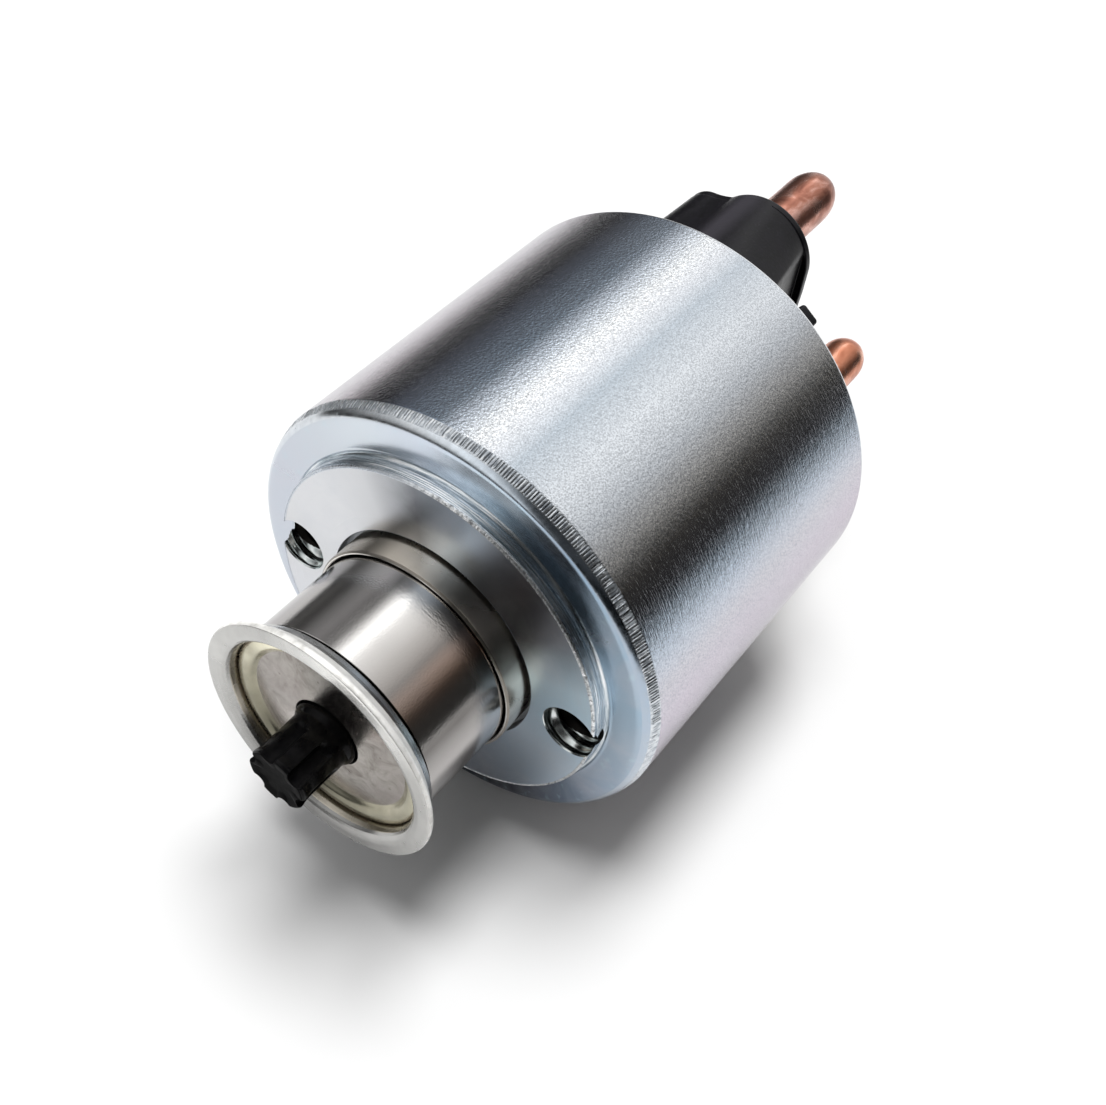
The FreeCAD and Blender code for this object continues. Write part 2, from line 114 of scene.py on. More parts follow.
def revolve(prof, n, centre=(0.0, 0.0), change=None, stride=None):
    """Vertices and faces of a closed profile turned about the X direction through centre, and each face's profile step.
    stride(x, r) gives how many of the n even angles one step of that ring spans, so plain rings are coarser."""
    P = np.array(prof, float)
    area = 0.5 * np.sum(P[:, 0] * np.roll(P[:, 1], -1) - np.roll(P[:, 0], -1) * P[:, 1])
    if area > 0:
        P = P[::-1]
    S = [stride(x, r) if stride else 1 for x, r in P]
    ang = np.arange(n) * 2 * math.pi / n
    X = np.repeat(P[:, 0][:, None], n, 1)
    R = np.repeat(P[:, 1][:, None], n, 1)
    if change is not None:
        X, R = change(X, R, ang)
    verts, first = [], []
    for i in range(len(P)):
        first.append(len(verts))
        if P[i, 1] < 1e-6:
            verts.append((X[i, 0], centre[0], centre[1]))
        else:
            q = slice(0, n, S[i])
            verts.extend(zip(X[i][q], centre[0] + R[i][q] * np.cos(ang[q]), centre[1] + R[i][q] * np.sin(ang[q])))
    faces, steps = [], []
    m = len(P)
    for i in range(m):
        k = (i + 1) % m
        pole_i, pole_k = P[i, 1] < 1e-6, P[k, 1] < 1e-6
        if pole_i and pole_k:
            continue
        step = S[k] if pole_i else S[i] if pole_k else max(S[i], S[k])
        for j in range(0, n, step):
            a = [first[i] + (w % n) // S[i] for w in range(j, j + step + 1, S[i])] if not pole_i else [first[i]]
            b = [first[k] + (w % n) // S[k] for w in range(j, j + step + 1, S[k])] if not pole_k else [first[k]]
            faces.append(tuple([a[0]] + b + a[:0:-1]))
            steps.append(i)
    return verts, faces, steps, P


def turned(name, prof, n, mats, pick=None, centre=(0.0, 0.0), change=None, sharp=24.0, stride=None):
    """A turned piece. pick(x, r, tangent) gives each ring's material."""
    verts, faces, steps, P = revolve(prof, n, centre, change, stride)
    index = None
    if pick:
        ring = []
        for i in range(len(P)):
            a, b = P[i], P[(i + 1) % len(P)]
            ring.append(pick((a[0] + b[0]) / 2, (a[1] + b[1]) / 2, b - a))
        index = [ring[s] for s in steps]
    return make_object(name, verts, faces, mats, index, sharp)


def grid_loop(rings):
    """Faces of a stack of closed rings of equal size, joined last to first."""
    n, m = len(rings[0]), len(rings)
    faces = []
    for i in range(m):
        k = (i + 1) % m
        for j in range(n):
            j2 = (j + 1) % n
            faces.append((i * n + j, k * n + j, k * n + j2, i * n + j2))
    return faces


def outward(ob):
    bm = bmesh.new()
    bm.from_mesh(ob.data)
    bmesh.ops.recalc_face_normals(bm, faces=bm.faces)
    bm.to_mesh(ob.data)
    bm.free()


def boolean(ob, other, op, sharp=24.0):
    """Cuts or joins other into ob and removes other."""
    mod = ob.modifiers.new("bool", "BOOLEAN")
    mod.object = other
    mod.operation = op
    mod.solver = "EXACT"
    mod.material_mode = "TRANSFER"
    dg = bpy.context.evaluated_depsgraph_get()
    me = bpy.data.meshes.new_from_object(ob.evaluated_get(dg), preserve_all_data_layers=True, depsgraph=dg)
    ob.modifiers.clear()
    old = ob.data
    ob.data = me
    me.name = old.name
    bpy.data.meshes.remove(old)
    gone = other.data
    bpy.data.objects.remove(other)
    bpy.data.meshes.remove(gone)
    me.polygons.foreach_set("use_smooth", np.ones(len(me.polygons), bool))
    me.set_sharp_from_angle(angle=math.radians(sharp))
    return ob


# ------------------------------------------------------------------ material helpers
class Mat:
    """Small helper round a Principled material in object coordinates (metres)."""

    def __init__(self, name, **inputs):
        self.m = bpy.data.materials.new(name)
        self.m.use_nodes = True
        self.t = self.m.node_tree
        self.b = self.t.nodes["Principled BSDF"]
        self.co = self.node("ShaderNodeTexCoord").outputs["Object"]
        for k, v in inputs.items():
            self.set(k, v)

    def node(self, kind, **props):
        n = self.t.nodes.new(kind)
        for k, v in props.items():
            setattr(n, k, v)
        return n

    def link(self, a, b):
        self.t.links.new(a, b)

    def set(self, name, value):
        names = {"color": "Base Color", "metallic": "Metallic", "rough": "Roughness", "ior": "IOR", "spec": "Specular IOR Level",
                 "coat": "Coat Weight", "coat_rough": "Coat Roughness", "aniso": "Anisotropic", "sheen": "Sheen Weight",
                 "rot": "Anisotropic Rotation", "tangent": "Tangent", "normal": "Normal"}
        s = self.b.inputs[names[name]]
        if isinstance(value, bpy.types.NodeSocket):
            self.link(value, s)
        elif isinstance(value, tuple) and len(value) == 3:
            s.default_value = (*value, 1.0)
        else:
            s.default_value = value

    def put(self, sock, value):
        if isinstance(value, bpy.types.NodeSocket):
            self.link(value, sock)
        elif value is not None:
            sock.default_value = value

    def scaled(self, sx, sy, sz, rot=(0, 0, 0), shift=(0, 0, 0)):
        n = self.node("ShaderNodeMapping")
        n.inputs["Scale"].default_value = (sx, sy, sz)
        n.inputs["Rotation"].default_value = rot
        n.inputs["Location"].default_value = shift
        self.link(self.co, n.inputs["Vector"])
        return n.outputs["Vector"]

    def noise(self, vec, scale=1.0, detail=2.0, rough=0.5, warp=0.0):
        n = self.node("ShaderNodeTexNoise")
        n.inputs["Scale"].default_value = scale
        n.inputs["Detail"].default_value = detail
        n.inputs["Roughness"].default_value = rough
        n.inputs["Distortion"].default_value = warp
        self.link(vec, n.inputs["Vector"])
        return n.outputs["Fac"]

    def voronoi(self, vec, scale=1.0, feature="F1", rand=1.0):
        n = self.node("ShaderNodeTexVoronoi", feature=feature)
        n.inputs["Scale"].default_value = scale
        n.inputs["Randomness"].default_value = rand
        self.link(vec, n.inputs["Vector"])
        return n.outputs["Distance"]

    def math(self, op, a, b=None, c=None, clamp=False):
        n = self.node("ShaderNodeMath", operation=op, use_clamp=clamp)
        self.put(n.inputs[0], a)
        self.put(n.inputs[1], b)
        self.put(n.inputs[2], c)
        return n.outputs[0]

    def span(self, v, a, b, c, d, smooth=False):
        n = self.node("ShaderNodeMapRange")
        if smooth:
            n.interpolation_type = "SMOOTHSTEP"
        self.link(v, n.inputs["Value"])
        for k, x in zip(("From Min", "From Max", "To Min", "To Max"), (a, b, c, d)):
            n.inputs[k].default_value = x
        return n.outputs["Result"]

    def ramp(self, v, stops, mode="LINEAR"):
        n = self.node("ShaderNodeValToRGB")
        n.color_ramp.interpolation = mode
        e = n.color_ramp.elements
        while len(e) < len(stops):
            e.new(0.5)
        for s, (p, c) in zip(e, stops):
            s.position = p
            s.color = (c, c, c, 1.0) if isinstance(c, (int, float)) else (*c, 1.0)
        self.link(v, n.inputs["Fac"])
        return n.outputs["Color"]

    def mix(self, f, a, b, mode="MIX"):
        n = self.node("ShaderNodeMix", data_type="RGBA", blend_type=mode)
        self.put(n.inputs["Factor"], f)
        for s, v in ((n.inputs[6], a), (n.inputs[7], b)):
            if isinstance(v, bpy.types.NodeSocket):
                self.link(v, s)
            else:
                s.default_value = (*v, 1.0)
        return n.outputs[2]

    def bump(self, h, dist, strength=1.0, prev=None):
        n = self.node("ShaderNodeBump")
        n.inputs["Strength"].default_value = strength
        n.inputs["Distance"].default_value = dist
        self.link(h, n.inputs["Height"])
        if prev is not None:
            self.link(prev, n.inputs["Normal"])
        return n.outputs["Normal"]

    def split(self):
        n = self.node("ShaderNodeSeparateXYZ")
        self.link(self.co, n.inputs[0])
        return n.outputs

    def around(self, centre=(0.0, 0.0)):
        """Angle round the X direction through centre, as 0 to 1 from the bottom."""
        x, y, z = self.split()
        y = self.math("SUBTRACT", y, centre[0] * MM)
        z = self.math("SUBTRACT", z, centre[1] * MM)
        return self.span(self.math("ARCTAN2", self.math("MULTIPLY", y, -1.0), z), -math.pi, math.pi, 0.0, 1.0)

    def radius(self, centre=(0.0, 0.0)):
        """Distance from the X direction through centre, in millimetres."""
        x, y, z = self.split()
        y = self.math("MULTIPLY_ADD", y, 1000.0, -centre[0])
        z = self.math("MULTIPLY_ADD", z, 1000.0, -centre[1])
        return self.math("SQRT", self.math("ADD", self.math("MULTIPLY", y, y), self.math("MULTIPLY", z, z)))

    def radial_tangent(self):
        n = self.node("ShaderNodeTangent", direction_type="RADIAL", axis="X")
        return n.outputs["Tangent"]


# ------------------------------------------------------------------ materials
def zinc_side():
    """Cylinder of the case: zinc plate over drawn steel, sandy, with short streaks round it and faint coloured
    passivation. Its colour round the axis also paints reflections, two near-black bands and bright bands: painted
    light.
    """
    m = Mat("zinc_side", metallic=1.0)
    turn = m.around()
    # Painted light: this ramp round the axis paints the dark and bright reflection bands, along with some real
    # passivation colour.
    painted_light_tint = m.ramp(turn, [
        (0.00, (0.56, 0.53, 0.57)), (0.22, (0.54, 0.49, 0.54)), (0.25, (0.455, 0.39, 0.48)), (0.278, (0.605, 0.53, 0.625)),
        (0.306, (0.62, 0.605, 0.665)), (0.333, (0.58, 0.68, 0.80)), (0.348, (0.62, 0.755, 0.90)), (0.361, (0.33, 0.335, 0.375)),
        (0.378, (0.35, 0.325, 0.285)), (0.395, (0.80, 0.78, 0.75)), (0.417, (0.74, 0.78, 0.83)), (0.446, (0.81, 0.85, 0.89)),
        (0.472, (0.44, 0.50, 0.555)), (0.487, (0.68, 0.70, 0.73)), (0.500, (0.95, 0.97, 0.98)), (0.514, (0.785, 0.86, 0.96)), (0.528, (0.33, 0.415, 0.52)),
        (0.545, (0.455, 0.55, 0.70)), (0.558, (0.35, 0.395, 0.515)), (0.570, (0.095, 0.092, 0.112)), (0.584, (0.08, 0.06, 0.07)), (0.598, (0.55, 0.475, 0.52)),
        (0.614, (0.74, 0.68, 0.73)), (0.640, (0.655, 0.61, 0.655)), (0.700, (0.63, 0.61, 0.65)), (1.00, (0.56, 0.53, 0.57))])
    cloud = m.noise(m.scaled(60, 25, 25), detail=3.0, rough=0.55)
    grain = m.noise(m.scaled(5200, 5200, 5200), detail=2.0, rough=0.6)
    col = m.mix(m.span(cloud, 0.35, 0.65, 0.0, 0.25), painted_light_tint, (0.62, 0.64, 0.68))
    col = m.mix(m.span(grain, 0.38, 0.58, 0.50, 0.0), col, (0.26, 0.28, 0.31))
    m.set("color", col)
    streak = m.noise(m.scaled(5200, 700, 700), detail=3.0, rough=0.6)
    fine = m.noise(m.scaled(3600, 3000, 3000), detail=3.0, rough=0.65)
    where = m.noise(m.scaled(30, 30, 30), detail=1.0)
    right = m.math("MULTIPLY", m.span(turn, 0.47, 0.38, 0.15, 0.9, True), m.span(where, 0.30, 0.60, 0.5, 1.0))
    h = m.mix(right, fine, streak)
    m.set("normal", m.bump(h, 0.00008, 1.0))
    m.set("rough", m.span(cloud, 0.3, 0.7, 0.16, 0.21))
    return m.m


def zinc_band():
    """Torn corner band in front of the cylinder."""
    m = Mat("zinc_band", metallic=1.0)
    n = m.noise(m.scaled(900, 2600, 2600), detail=3.0, rough=0.6)
    m.set("color", m.ramp(n, [(0.30, (0.30, 0.33, 0.37)), (0.52, (0.62, 0.66, 0.70)), (0.72, (0.80, 0.82, 0.84))]))
    m.set("rough", m.span(n, 0.3, 0.7, 0.34, 0.20))
    m.set("normal", m.bump(m.noise(m.scaled(2500, 5200, 5200), detail=2.0), 0.00005, 0.5))
    return m.m


def zinc_strip():
    """Rounded strip between the flat face and the torn band. Its colour round the axis paints reflections, darker and
    lighter sectors: painted light.
    """
    m = Mat("zinc_strip", metallic=1.0)
    # Painted light: the ramp round the axis paints dark and bright reflection sectors.
    painted_light_tint = m.ramp(m.around(), [
        (0.00, (0.30, 0.33, 0.38)), (0.20, (0.50, 0.56, 0.64)), (0.30, (0.42, 0.50, 0.60)), (0.42, (0.40, 0.47, 0.56)), (0.48, (0.66, 0.74, 0.82)),
        (0.54, (0.78, 0.82, 0.86)), (0.62, (0.74, 0.77, 0.80)), (0.72, (0.62, 0.66, 0.72)), (1.00, (0.30, 0.33, 0.38))])
    n = m.noise(m.scaled(900, 900, 900), detail=3.0, rough=0.6)
    m.set("color", m.mix(m.span(n, 0.35, 0.65, 0.0, 0.4), painted_light_tint, (0.50, 0.54, 0.58)))
    m.set("rough", m.span(n, 0.3, 0.7, 0.16, 0.28))
    m.set("normal", m.bump(n, 0.00004, 0.3))
    return m.m


def zinc_face():
    """Flat annular face: smooth, blue passivated, faint turning marks. Its colour round the axis paints reflections,
    darkest at the bottom, where it paints the dark reflection of the shadow under the part.
    """
    m = Mat("zinc_face", metallic=1.0)
    # Painted light: the ramp round the axis paints reflections, with painted shade near the bottom.
    painted_light_tint = m.ramp(m.around(), [
        (0.00, (0.08, 0.10, 0.13)), (0.028, (0.048, 0.062, 0.083)), (0.083, (0.022, 0.034, 0.054)), (0.139, (0.15, 0.195, 0.265)), (0.194, (0.35, 0.43, 0.53)),
        (0.25, (0.38, 0.47, 0.56)), (0.306, (0.35, 0.47, 0.58)), (0.361, (0.30, 0.42, 0.53)), (0.417, (0.30, 0.41, 0.54)),
        (0.472, (0.64, 0.79, 0.92)), (0.528, (0.62, 0.68, 0.77)), (0.583, (0.63, 0.68, 0.73)), (0.639, (0.57, 0.61, 0.665)),
        (0.70, (0.54, 0.58, 0.65)), (0.806, (0.55, 0.59, 0.65)), (0.90, (0.40, 0.44, 0.52)), (1.00, (0.09, 0.11, 0.135))])
    cloud = m.noise(m.scaled(120, 120, 120), detail=3.0, rough=0.6, warp=0.6)
    col = m.mix(m.span(cloud, 0.42, 0.66, 0.0, 0.35), painted_light_tint, (0.60, 0.60, 0.65))
    spot = m.noise(m.scaled(700, 700, 700), detail=2.0)
    col = m.mix(m.span(spot, 0.62, 0.74, 0.0, 0.35), col, (0.50, 0.66, 0.72))
    m.set("color", col)
    r = m.radius()
    wire = m.node("ShaderNodeCombineXYZ")
    m.link(m.math("MULTIPLY", r, 6.0), wire.inputs[0])
    ridges = m.noise(wire.outputs[0], detail=3.0, rough=0.7)
    m.set("normal", m.bump(ridges, 0.00002, 0.25))
    m.set("rough", m.span(cloud, 0.3, 0.7, 0.20, 0.28))
    m.set("aniso", 0.35)
    m.set("tangent", m.radial_tangent())
    return m.m


def boss_face():
    """Turned face of the boss: silver, close turning lines, so it shines in radial fans. Its colour round the axis also
    paints dark and bright reflection fans: painted light.
    """
    m = Mat("boss_face", metallic=1.0)
    # Painted light: the ramp round the axis paints dark and bright fans of reflection.
    painted_light_tint = m.ramp(m.around(), [
        (0.00, (0.42, 0.46, 0.52)), (0.083, (0.42, 0.46, 0.53)), (0.139, (0.45, 0.53, 0.62)), (0.194, (0.57, 0.66, 0.75)),
        (0.25, (0.50, 0.63, 0.73)), (0.306, (0.54, 0.69, 0.78)), (0.361, (0.225, 0.24, 0.27)), (0.417, (0.38, 0.39, 0.45)),
        (0.472, (0.56, 0.66, 0.78)), (0.528, (0.25, 0.265, 0.29)), (0.583, (0.63, 0.64, 0.66)), (0.639, (0.70, 0.71, 0.73)),
        (0.694, (0.69, 0.70, 0.72)), (0.75, (0.64, 0.65, 0.66)), (0.806, (0.66, 0.67, 0.70)), (1.00, (0.42, 0.46, 0.52))])
    cloud = m.noise(m.scaled(200, 200, 200), detail=3.0, rough=0.6, warp=0.4)
    m.set("color", m.mix(m.span(cloud, 0.45, 0.70, 0.0, 0.3), painted_light_tint, (0.58, 0.60, 0.64)))
    r = m.radius()
    wire = m.node("ShaderNodeCombineXYZ")
    m.link(m.math("MULTIPLY", r, 9.0), wire.inputs[0])
    ridges = m.noise(wire.outputs[0], detail=4.0, rough=0.75)
    m.set("normal", m.bump(ridges, 0.00002, 0.25))
    m.set("rough", m.span(ridges, 0.3, 0.7, 0.26, 0.33))
    m.set("aniso", 0.55)
    m.set("tangent", m.radial_tangent())
    return m.m


def boss_wall():
    """Side of the boss: turned, streaked round."""
    m = Mat("boss_wall", metallic=1.0)
    n = m.noise(m.scaled(3800, 160, 160), detail=4.0, rough=0.65)
    m.set("color", m.ramp(n, [(0.36, (0.20, 0.25, 0.29)), (0.50, (0.55, 0.61, 0.65)), (0.62, (0.86, 0.88, 0.90))]))
    m.set("rough", m.span(n, 0.3, 0.7, 0.30, 0.16))
    m.set("normal", m.bump(n, 0.00008, 0.9))
    return m.m


def burr():
    """Torn bright edge of the boss."""
    m = Mat("torn_edge", metallic=1.0)
    n = m.noise(m.scaled(2600, 2600, 2600), detail=4.0, rough=0.7)
    col = m.ramp(n, [(0.34, (0.16, 0.16, 0.17)), (0.47, (0.58, 0.60, 0.61)), (0.60, (0.90, 0.91, 0.92))])
    calm = m.span(m.around(), 0.50, 0.55, 0.0, 0.85)
    m.set("color", m.mix(calm, col, (0.60, 0.64, 0.69)))
    m.set("rough", m.span(n, 0.3, 0.7, 0.4, 0.2))
    m.set("normal", m.bump(n, 0.00005, 0.7))
    return m.m


def thread_zinc():
    """Tapped bore: bright zinc with darker roots."""
    m = Mat("thread_zinc", metallic=1.0)
    n = m.noise(m.scaled(900, 900, 900), detail=3.0)
    m.set("color", m.ramp(n, [(0.3, (0.48, 0.53, 0.53)), (0.7, (0.80, 0.83, 0.82))]))
    m.set("rough", m.span(n, 0.3, 0.7, 0.14, 0.24))
    m.set("normal", m.bump(n, 0.00004, 0.3))
    return m.m


def satin_nickel():
    """Plunger: satin, warm nickel plate over ground steel. Its colour round the axis paints the reflection bands, dark,
    bright and brown: painted light.
    """
    m = Mat("plunger_nickel", metallic=1.0)
    cloud = m.noise(m.scaled(120, 60, 60), detail=3.0, rough=0.55)
    # Painted light: the ramp round the axis paints the reflection bands.
    painted_light_tint = m.ramp(m.around(), [
        (0.00, (0.46, 0.44, 0.43)), (0.194, (0.48, 0.45, 0.43)), (0.25, (0.31, 0.295, 0.29)), (0.278, (0.43, 0.41, 0.40)),
        (0.306, (0.30, 0.29, 0.28)), (0.325, (0.165, 0.155, 0.15)), (0.342, (0.25, 0.24, 0.23)), (0.361, (0.44, 0.40, 0.36)), (0.380, (0.66, 0.45, 0.34)),
        (0.403, (0.60, 0.46, 0.39)), (0.417, (0.33, 0.30, 0.28)), (0.444, (0.45, 0.43, 0.41)), (0.472, (0.72, 0.70, 0.68)),
        (0.489, (0.78, 0.77, 0.75)), (0.503, (0.43, 0.42, 0.41)), (0.515, (0.205, 0.20, 0.195)), (0.533, (0.57, 0.545, 0.54)),
        (0.556, (0.68, 0.66, 0.65)), (0.578, (0.58, 0.56, 0.54)), (0.600, (0.45, 0.435, 0.425)), (0.625, (0.35, 0.335, 0.335)),
        (1.00, (0.46, 0.44, 0.43))])
    m.set("color", m.mix(m.span(cloud, 0.35, 0.65, 0.0, 0.2), painted_light_tint, (0.44, 0.42, 0.40)))
    ground = m.noise(m.scaled(5200, 420, 420), detail=3.0, rough=0.6)
    grain = m.noise(m.scaled(4200, 4200, 4200), detail=2.0)
    m.set("normal", m.bump(ground, 0.00003, 0.10, m.bump(grain, 0.00003, 0.30)))
    m.set("rough", m.span(cloud, 0.3, 0.7, 0.14, 0.18))
    return m.m


def tube_steel():
    """Guide tube: drab satin steel with an olive tone. A brightness ramp round the axis paints reflection bands:
    painted light.
    """
    m = Mat("tube_satin", metallic=1.0)
    cloud = m.noise(m.scaled(200, 120, 120), detail=3.0)
    col = m.mix(m.span(cloud, 0.35, 0.65, 0.0, 1.0), (0.56, 0.505, 0.43), (0.67, 0.62, 0.54))
    # Painted light: this ramp round the axis brightens and darkens the colour in reflection bands.
    stain_and_painted_light = m.ramp(m.around(), [(0.0, 0.55), (0.25, 0.50), (0.278, 0.98), (0.305, 1.05), (0.333, 0.46), (0.36, 0.95), (0.39, 1.30), (0.44, 0.68), (0.472, 0.70),
                                (0.50, 1.55), (0.55, 1.60), (0.59, 0.82), (0.63, 0.66), (0.70, 0.55), (1.0, 0.55)])
    m.set("color", m.mix(1.0, col, stain_and_painted_light, "MULTIPLY"))
    ground = m.noise(m.scaled(4200, 380, 380), detail=3.0, rough=0.6)
    m.set("normal", m.bump(ground, 0.00003, 0.2))
    m.set("rough", m.span(cloud, 0.3, 0.7, 0.24, 0.31))
    return m.m


def cup_steel():
    """Pressed cup: pale satin plate. A brightness ramp round the axis paints a highlight near the top and shade towards
    the bottom.
    """
    m = Mat("cup_satin", metallic=1.0)
    cloud = m.noise(m.scaled(260, 260, 260), detail=3.0, rough=0.6)
    col = m.mix(m.span(cloud, 0.35, 0.68, 0.0, 1.0), (0.90, 0.89, 0.86), (0.78, 0.775, 0.75))
    # Painted light: the ramp round the axis paints a highlight near the top and shade towards the bottom.
    stain_and_painted_light = m.ramp(m.around(), [(0.0, 0.29), (0.10, 0.48), (0.22, 0.66), (0.33, 0.57), (0.40, 0.96), (0.44, 1.0), (0.50, 0.92),
                                (0.54, 0.70), (0.58, 0.57), (0.75, 0.66), (0.85, 0.46), (0.917, 0.26), (1.0, 0.25)])
    m.set("color", m.mix(1.0, col, stain_and_painted_light, "MULTIPLY"))
    grain = m.noise(m.scaled(3600, 3600, 3600), detail=3.0, rough=0.6)
    m.set("normal", m.bump(grain, 0.00003, 0.35))
    m.set("rough", m.span(cloud, 0.3, 0.7, 0.22, 0.30))
    return m.m


def cup_back_painted_highlight():
    """Back of the cup's flare: dull plate, scuffed. Paler and half dull beside the cup plate, so the flare's back reads
    bright: a painted highlight.
    """
    m = Mat("cup_back_painted_highlight", metallic=0.45)
    n = m.noise(m.scaled(500, 500, 500), detail=4.0, rough=0.65)
    m.set("color", m.ramp(n, [(0.34, (0.62, 0.61, 0.58)), (0.50, (0.84, 0.83, 0.80)), (0.66, (0.92, 0.91, 0.89))]))
    m.set("rough", m.span(n, 0.3, 0.7, 0.32, 0.46))
    m.set("normal", m.bump(n, 0.00004, 0.4))
    return m.m


def ring_gold():
    """Rounded ring in the cup: champagne plate, with painted shade, dark brown, in the corner by the cup's wall, and a
    brightness ramp round the axis that paints light and shade.
    """
    m = Mat("ring_champagne", metallic=1.0)
    cloud = m.noise(m.scaled(300, 300, 300), detail=3.0, rough=0.6)
    col = m.mix(m.span(cloud, 0.35, 0.65, 0.0, 1.0), (0.57, 0.54, 0.41), (0.43, 0.405, 0.305))
    # Painted shade: the colour turns dark brown towards the outer edge, in the corner by the cup's wall.
    r = m.math("ADD", m.radius(), m.span(cloud, 0.3, 0.7, -0.12, 0.12))
    col = m.mix(m.span(r, 12.30, 12.85, 0.0, 0.85, True), col, (0.17, 0.13, 0.10))
    # Painted light: the ramp round the axis brightens and darkens the ring as the light falls.
    stain_and_painted_light = m.ramp(m.around(), [(0.0, 0.26), (0.10, 0.65), (0.20, 1.05), (0.45, 1.25), (0.58, 1.8), (0.66, 1.12), (0.75, 0.80), (0.84, 0.42), (1.0, 0.22)])
    m.set("color", m.mix(1.0, col, stain_and_painted_light, "MULTIPLY"))
    grain = m.noise(m.scaled(3200, 3200, 3200), detail=3.0)
    m.set("normal", m.bump(grain, 0.00003, 0.25))
    m.set("rough", m.span(cloud, 0.3, 0.7, 0.18, 0.26))
    return m.m


def disc_steel():
    """Flat disc: stained, brownish grey plate with small dark specks and marks. A ramp round the axis paints a dark
    shade at the top and brighter patches of reflection: painted light.
    """
    m = Mat("disc_stained", metallic=1.0)
    stain_and_painted_light = m.noise(m.scaled(420, 420, 420), detail=5.0, rough=0.68, warp=0.8)
    big = m.noise(m.scaled(130, 130, 130), detail=3.0, rough=0.6, warp=0.5)
    col = m.ramp(stain_and_painted_light, [(0.34, (0.21, 0.18, 0.16)), (0.47, (0.34, 0.315, 0.285)), (0.60, (0.43, 0.405, 0.37))])
    col = m.mix(m.span(big, 0.45, 0.62, 0.0, 0.6), col, (0.38, 0.34, 0.32))
    speck = m.voronoi(m.scaled(780, 780, 780), rand=1.0)
    some = m.noise(m.scaled(350, 350, 350), detail=1.0)
    mask = m.math("MULTIPLY", m.span(speck, 0.06, 0.16, 1.0, 0.0), m.span(some, 0.55, 0.62, 0.0, 1.0))
    col = m.mix(m.math("MULTIPLY", mask, 0.75), col, (0.13, 0.10, 0.08))
    # Painted light: this ramp paints a dark shade at the top and brighter reflection patches round the axis.
    painted_light_wash = m.ramp(m.around(), [(0.0, 1.40), (0.083, 1.10), (0.167, 1.15), (0.25, 1.0), (0.333, 0.78), (0.417, 1.9), (0.46, 0.9), (0.50, 0.40),
                               (0.583, 0.84), (0.667, 0.85), (0.75, 0.80), (0.833, 1.30), (1.0, 1.40)])
    m.set("color", m.mix(1.0, col, painted_light_wash, "MULTIPLY"))
    grain = m.noise(m.scaled(2600, 2600, 2600), detail=4.0, rough=0.65)
    m.set("normal", m.bump(grain, 0.00004, 0.30, m.bump(stain_and_painted_light, 0.0001, 0.10)))
    m.set("rough", m.span(stain_and_painted_light, 0.3, 0.7, 0.28, 0.16))
    return m.m


def stem_black(name="stem_black", spec=0.08, rough=(0.08, 0.17)):
    """Stem: glossy black moulding."""
    m = Mat(name)
    n = m.noise(m.scaled(900, 900, 900), detail=4.0, rough=0.6)
    m.set("color", m.mix(m.span(n, 0.3, 0.7, 0.0, 1.0), (0.0015, 0.0015, 0.0018), (0.005, 0.0048, 0.005)))
    m.set("rough", m.span(n, 0.3, 0.7, *rough))
    m.set("normal", m.bump(m.noise(m.scaled(1300, 1300, 1300), detail=3.0, rough=0.55), 0.00006, 0.35))
    m.set("ior", 1.5)
    m.set("spec", spec)
    return m.m


def cap_black():
    """Terminal cap: satin charcoal phenolic moulding, with a lighter band round the tower that paints a highlight."""
    m = Mat("cap_charcoal")
    n = m.noise(m.scaled(700, 700, 700), detail=4.0, rough=0.6)
    speck = m.noise(m.scaled(2800, 2800, 2800), detail=2.0)
    col = m.mix(m.span(n, 0.3, 0.7, 0.0, 1.0), (0.0015, 0.0015, 0.002), (0.0045, 0.004, 0.006))
    col = m.mix(m.span(speck, 0.60, 0.72, 0.0, 0.12), col, (0.04, 0.038, 0.045))
    # Painted highlight: a lighter band round the large stud's axis, where the tower catches the light.
    painted_highlight = m.ramp(m.around((-1.0, 16.7)), [(0.0, 0.0), (0.44, 0.0), (0.49, 0.12), (0.522, 0.85), (0.545, 1.0), (0.575, 0.25), (0.61, 0.0), (1.0, 0.0)])
    m.set("color", m.mix(m.math("MULTIPLY", painted_highlight, 0.9), col, (0.032, 0.030, 0.036)))
    m.set("rough", m.span(n, 0.3, 0.7, 0.28, 0.36))
    m.set("normal", m.bump(speck, 0.00003, 0.3, m.bump(n, 0.00008, 0.12)))
    m.set("ior", 1.5)
    m.set("spec", 0.13)
    return m.m


def copper(name="stud_copper", warm=0.0):
    """Stud: satin copper, mottled darker patches."""
    m = Mat(name, metallic=1.0)
    n = m.noise(m.scaled(260, 420, 420), detail=3.0, rough=0.6, warp=0.6)
    a, b, c = (0.24, 0.085, 0.055), (0.42, 0.175, 0.12), (0.68, 0.39, 0.32)
    if warm:
        a, b, c = (0.40, 0.13, 0.07), (0.62, 0.25, 0.15), (0.84, 0.48, 0.36)
    m.set("color", m.ramp(n, [(0.30, a), (0.50, b), (0.68, c)]))
    grain = m.noise(m.scaled(2400, 2400, 2400), detail=3.0, rough=0.6)
    m.set("normal", m.bump(grain, 0.00004, 0.35, m.bump(n, 0.0001, 0.25)))
    m.set("rough", m.span(n, 0.3, 0.7, 0.34, 0.24))
    return m.m


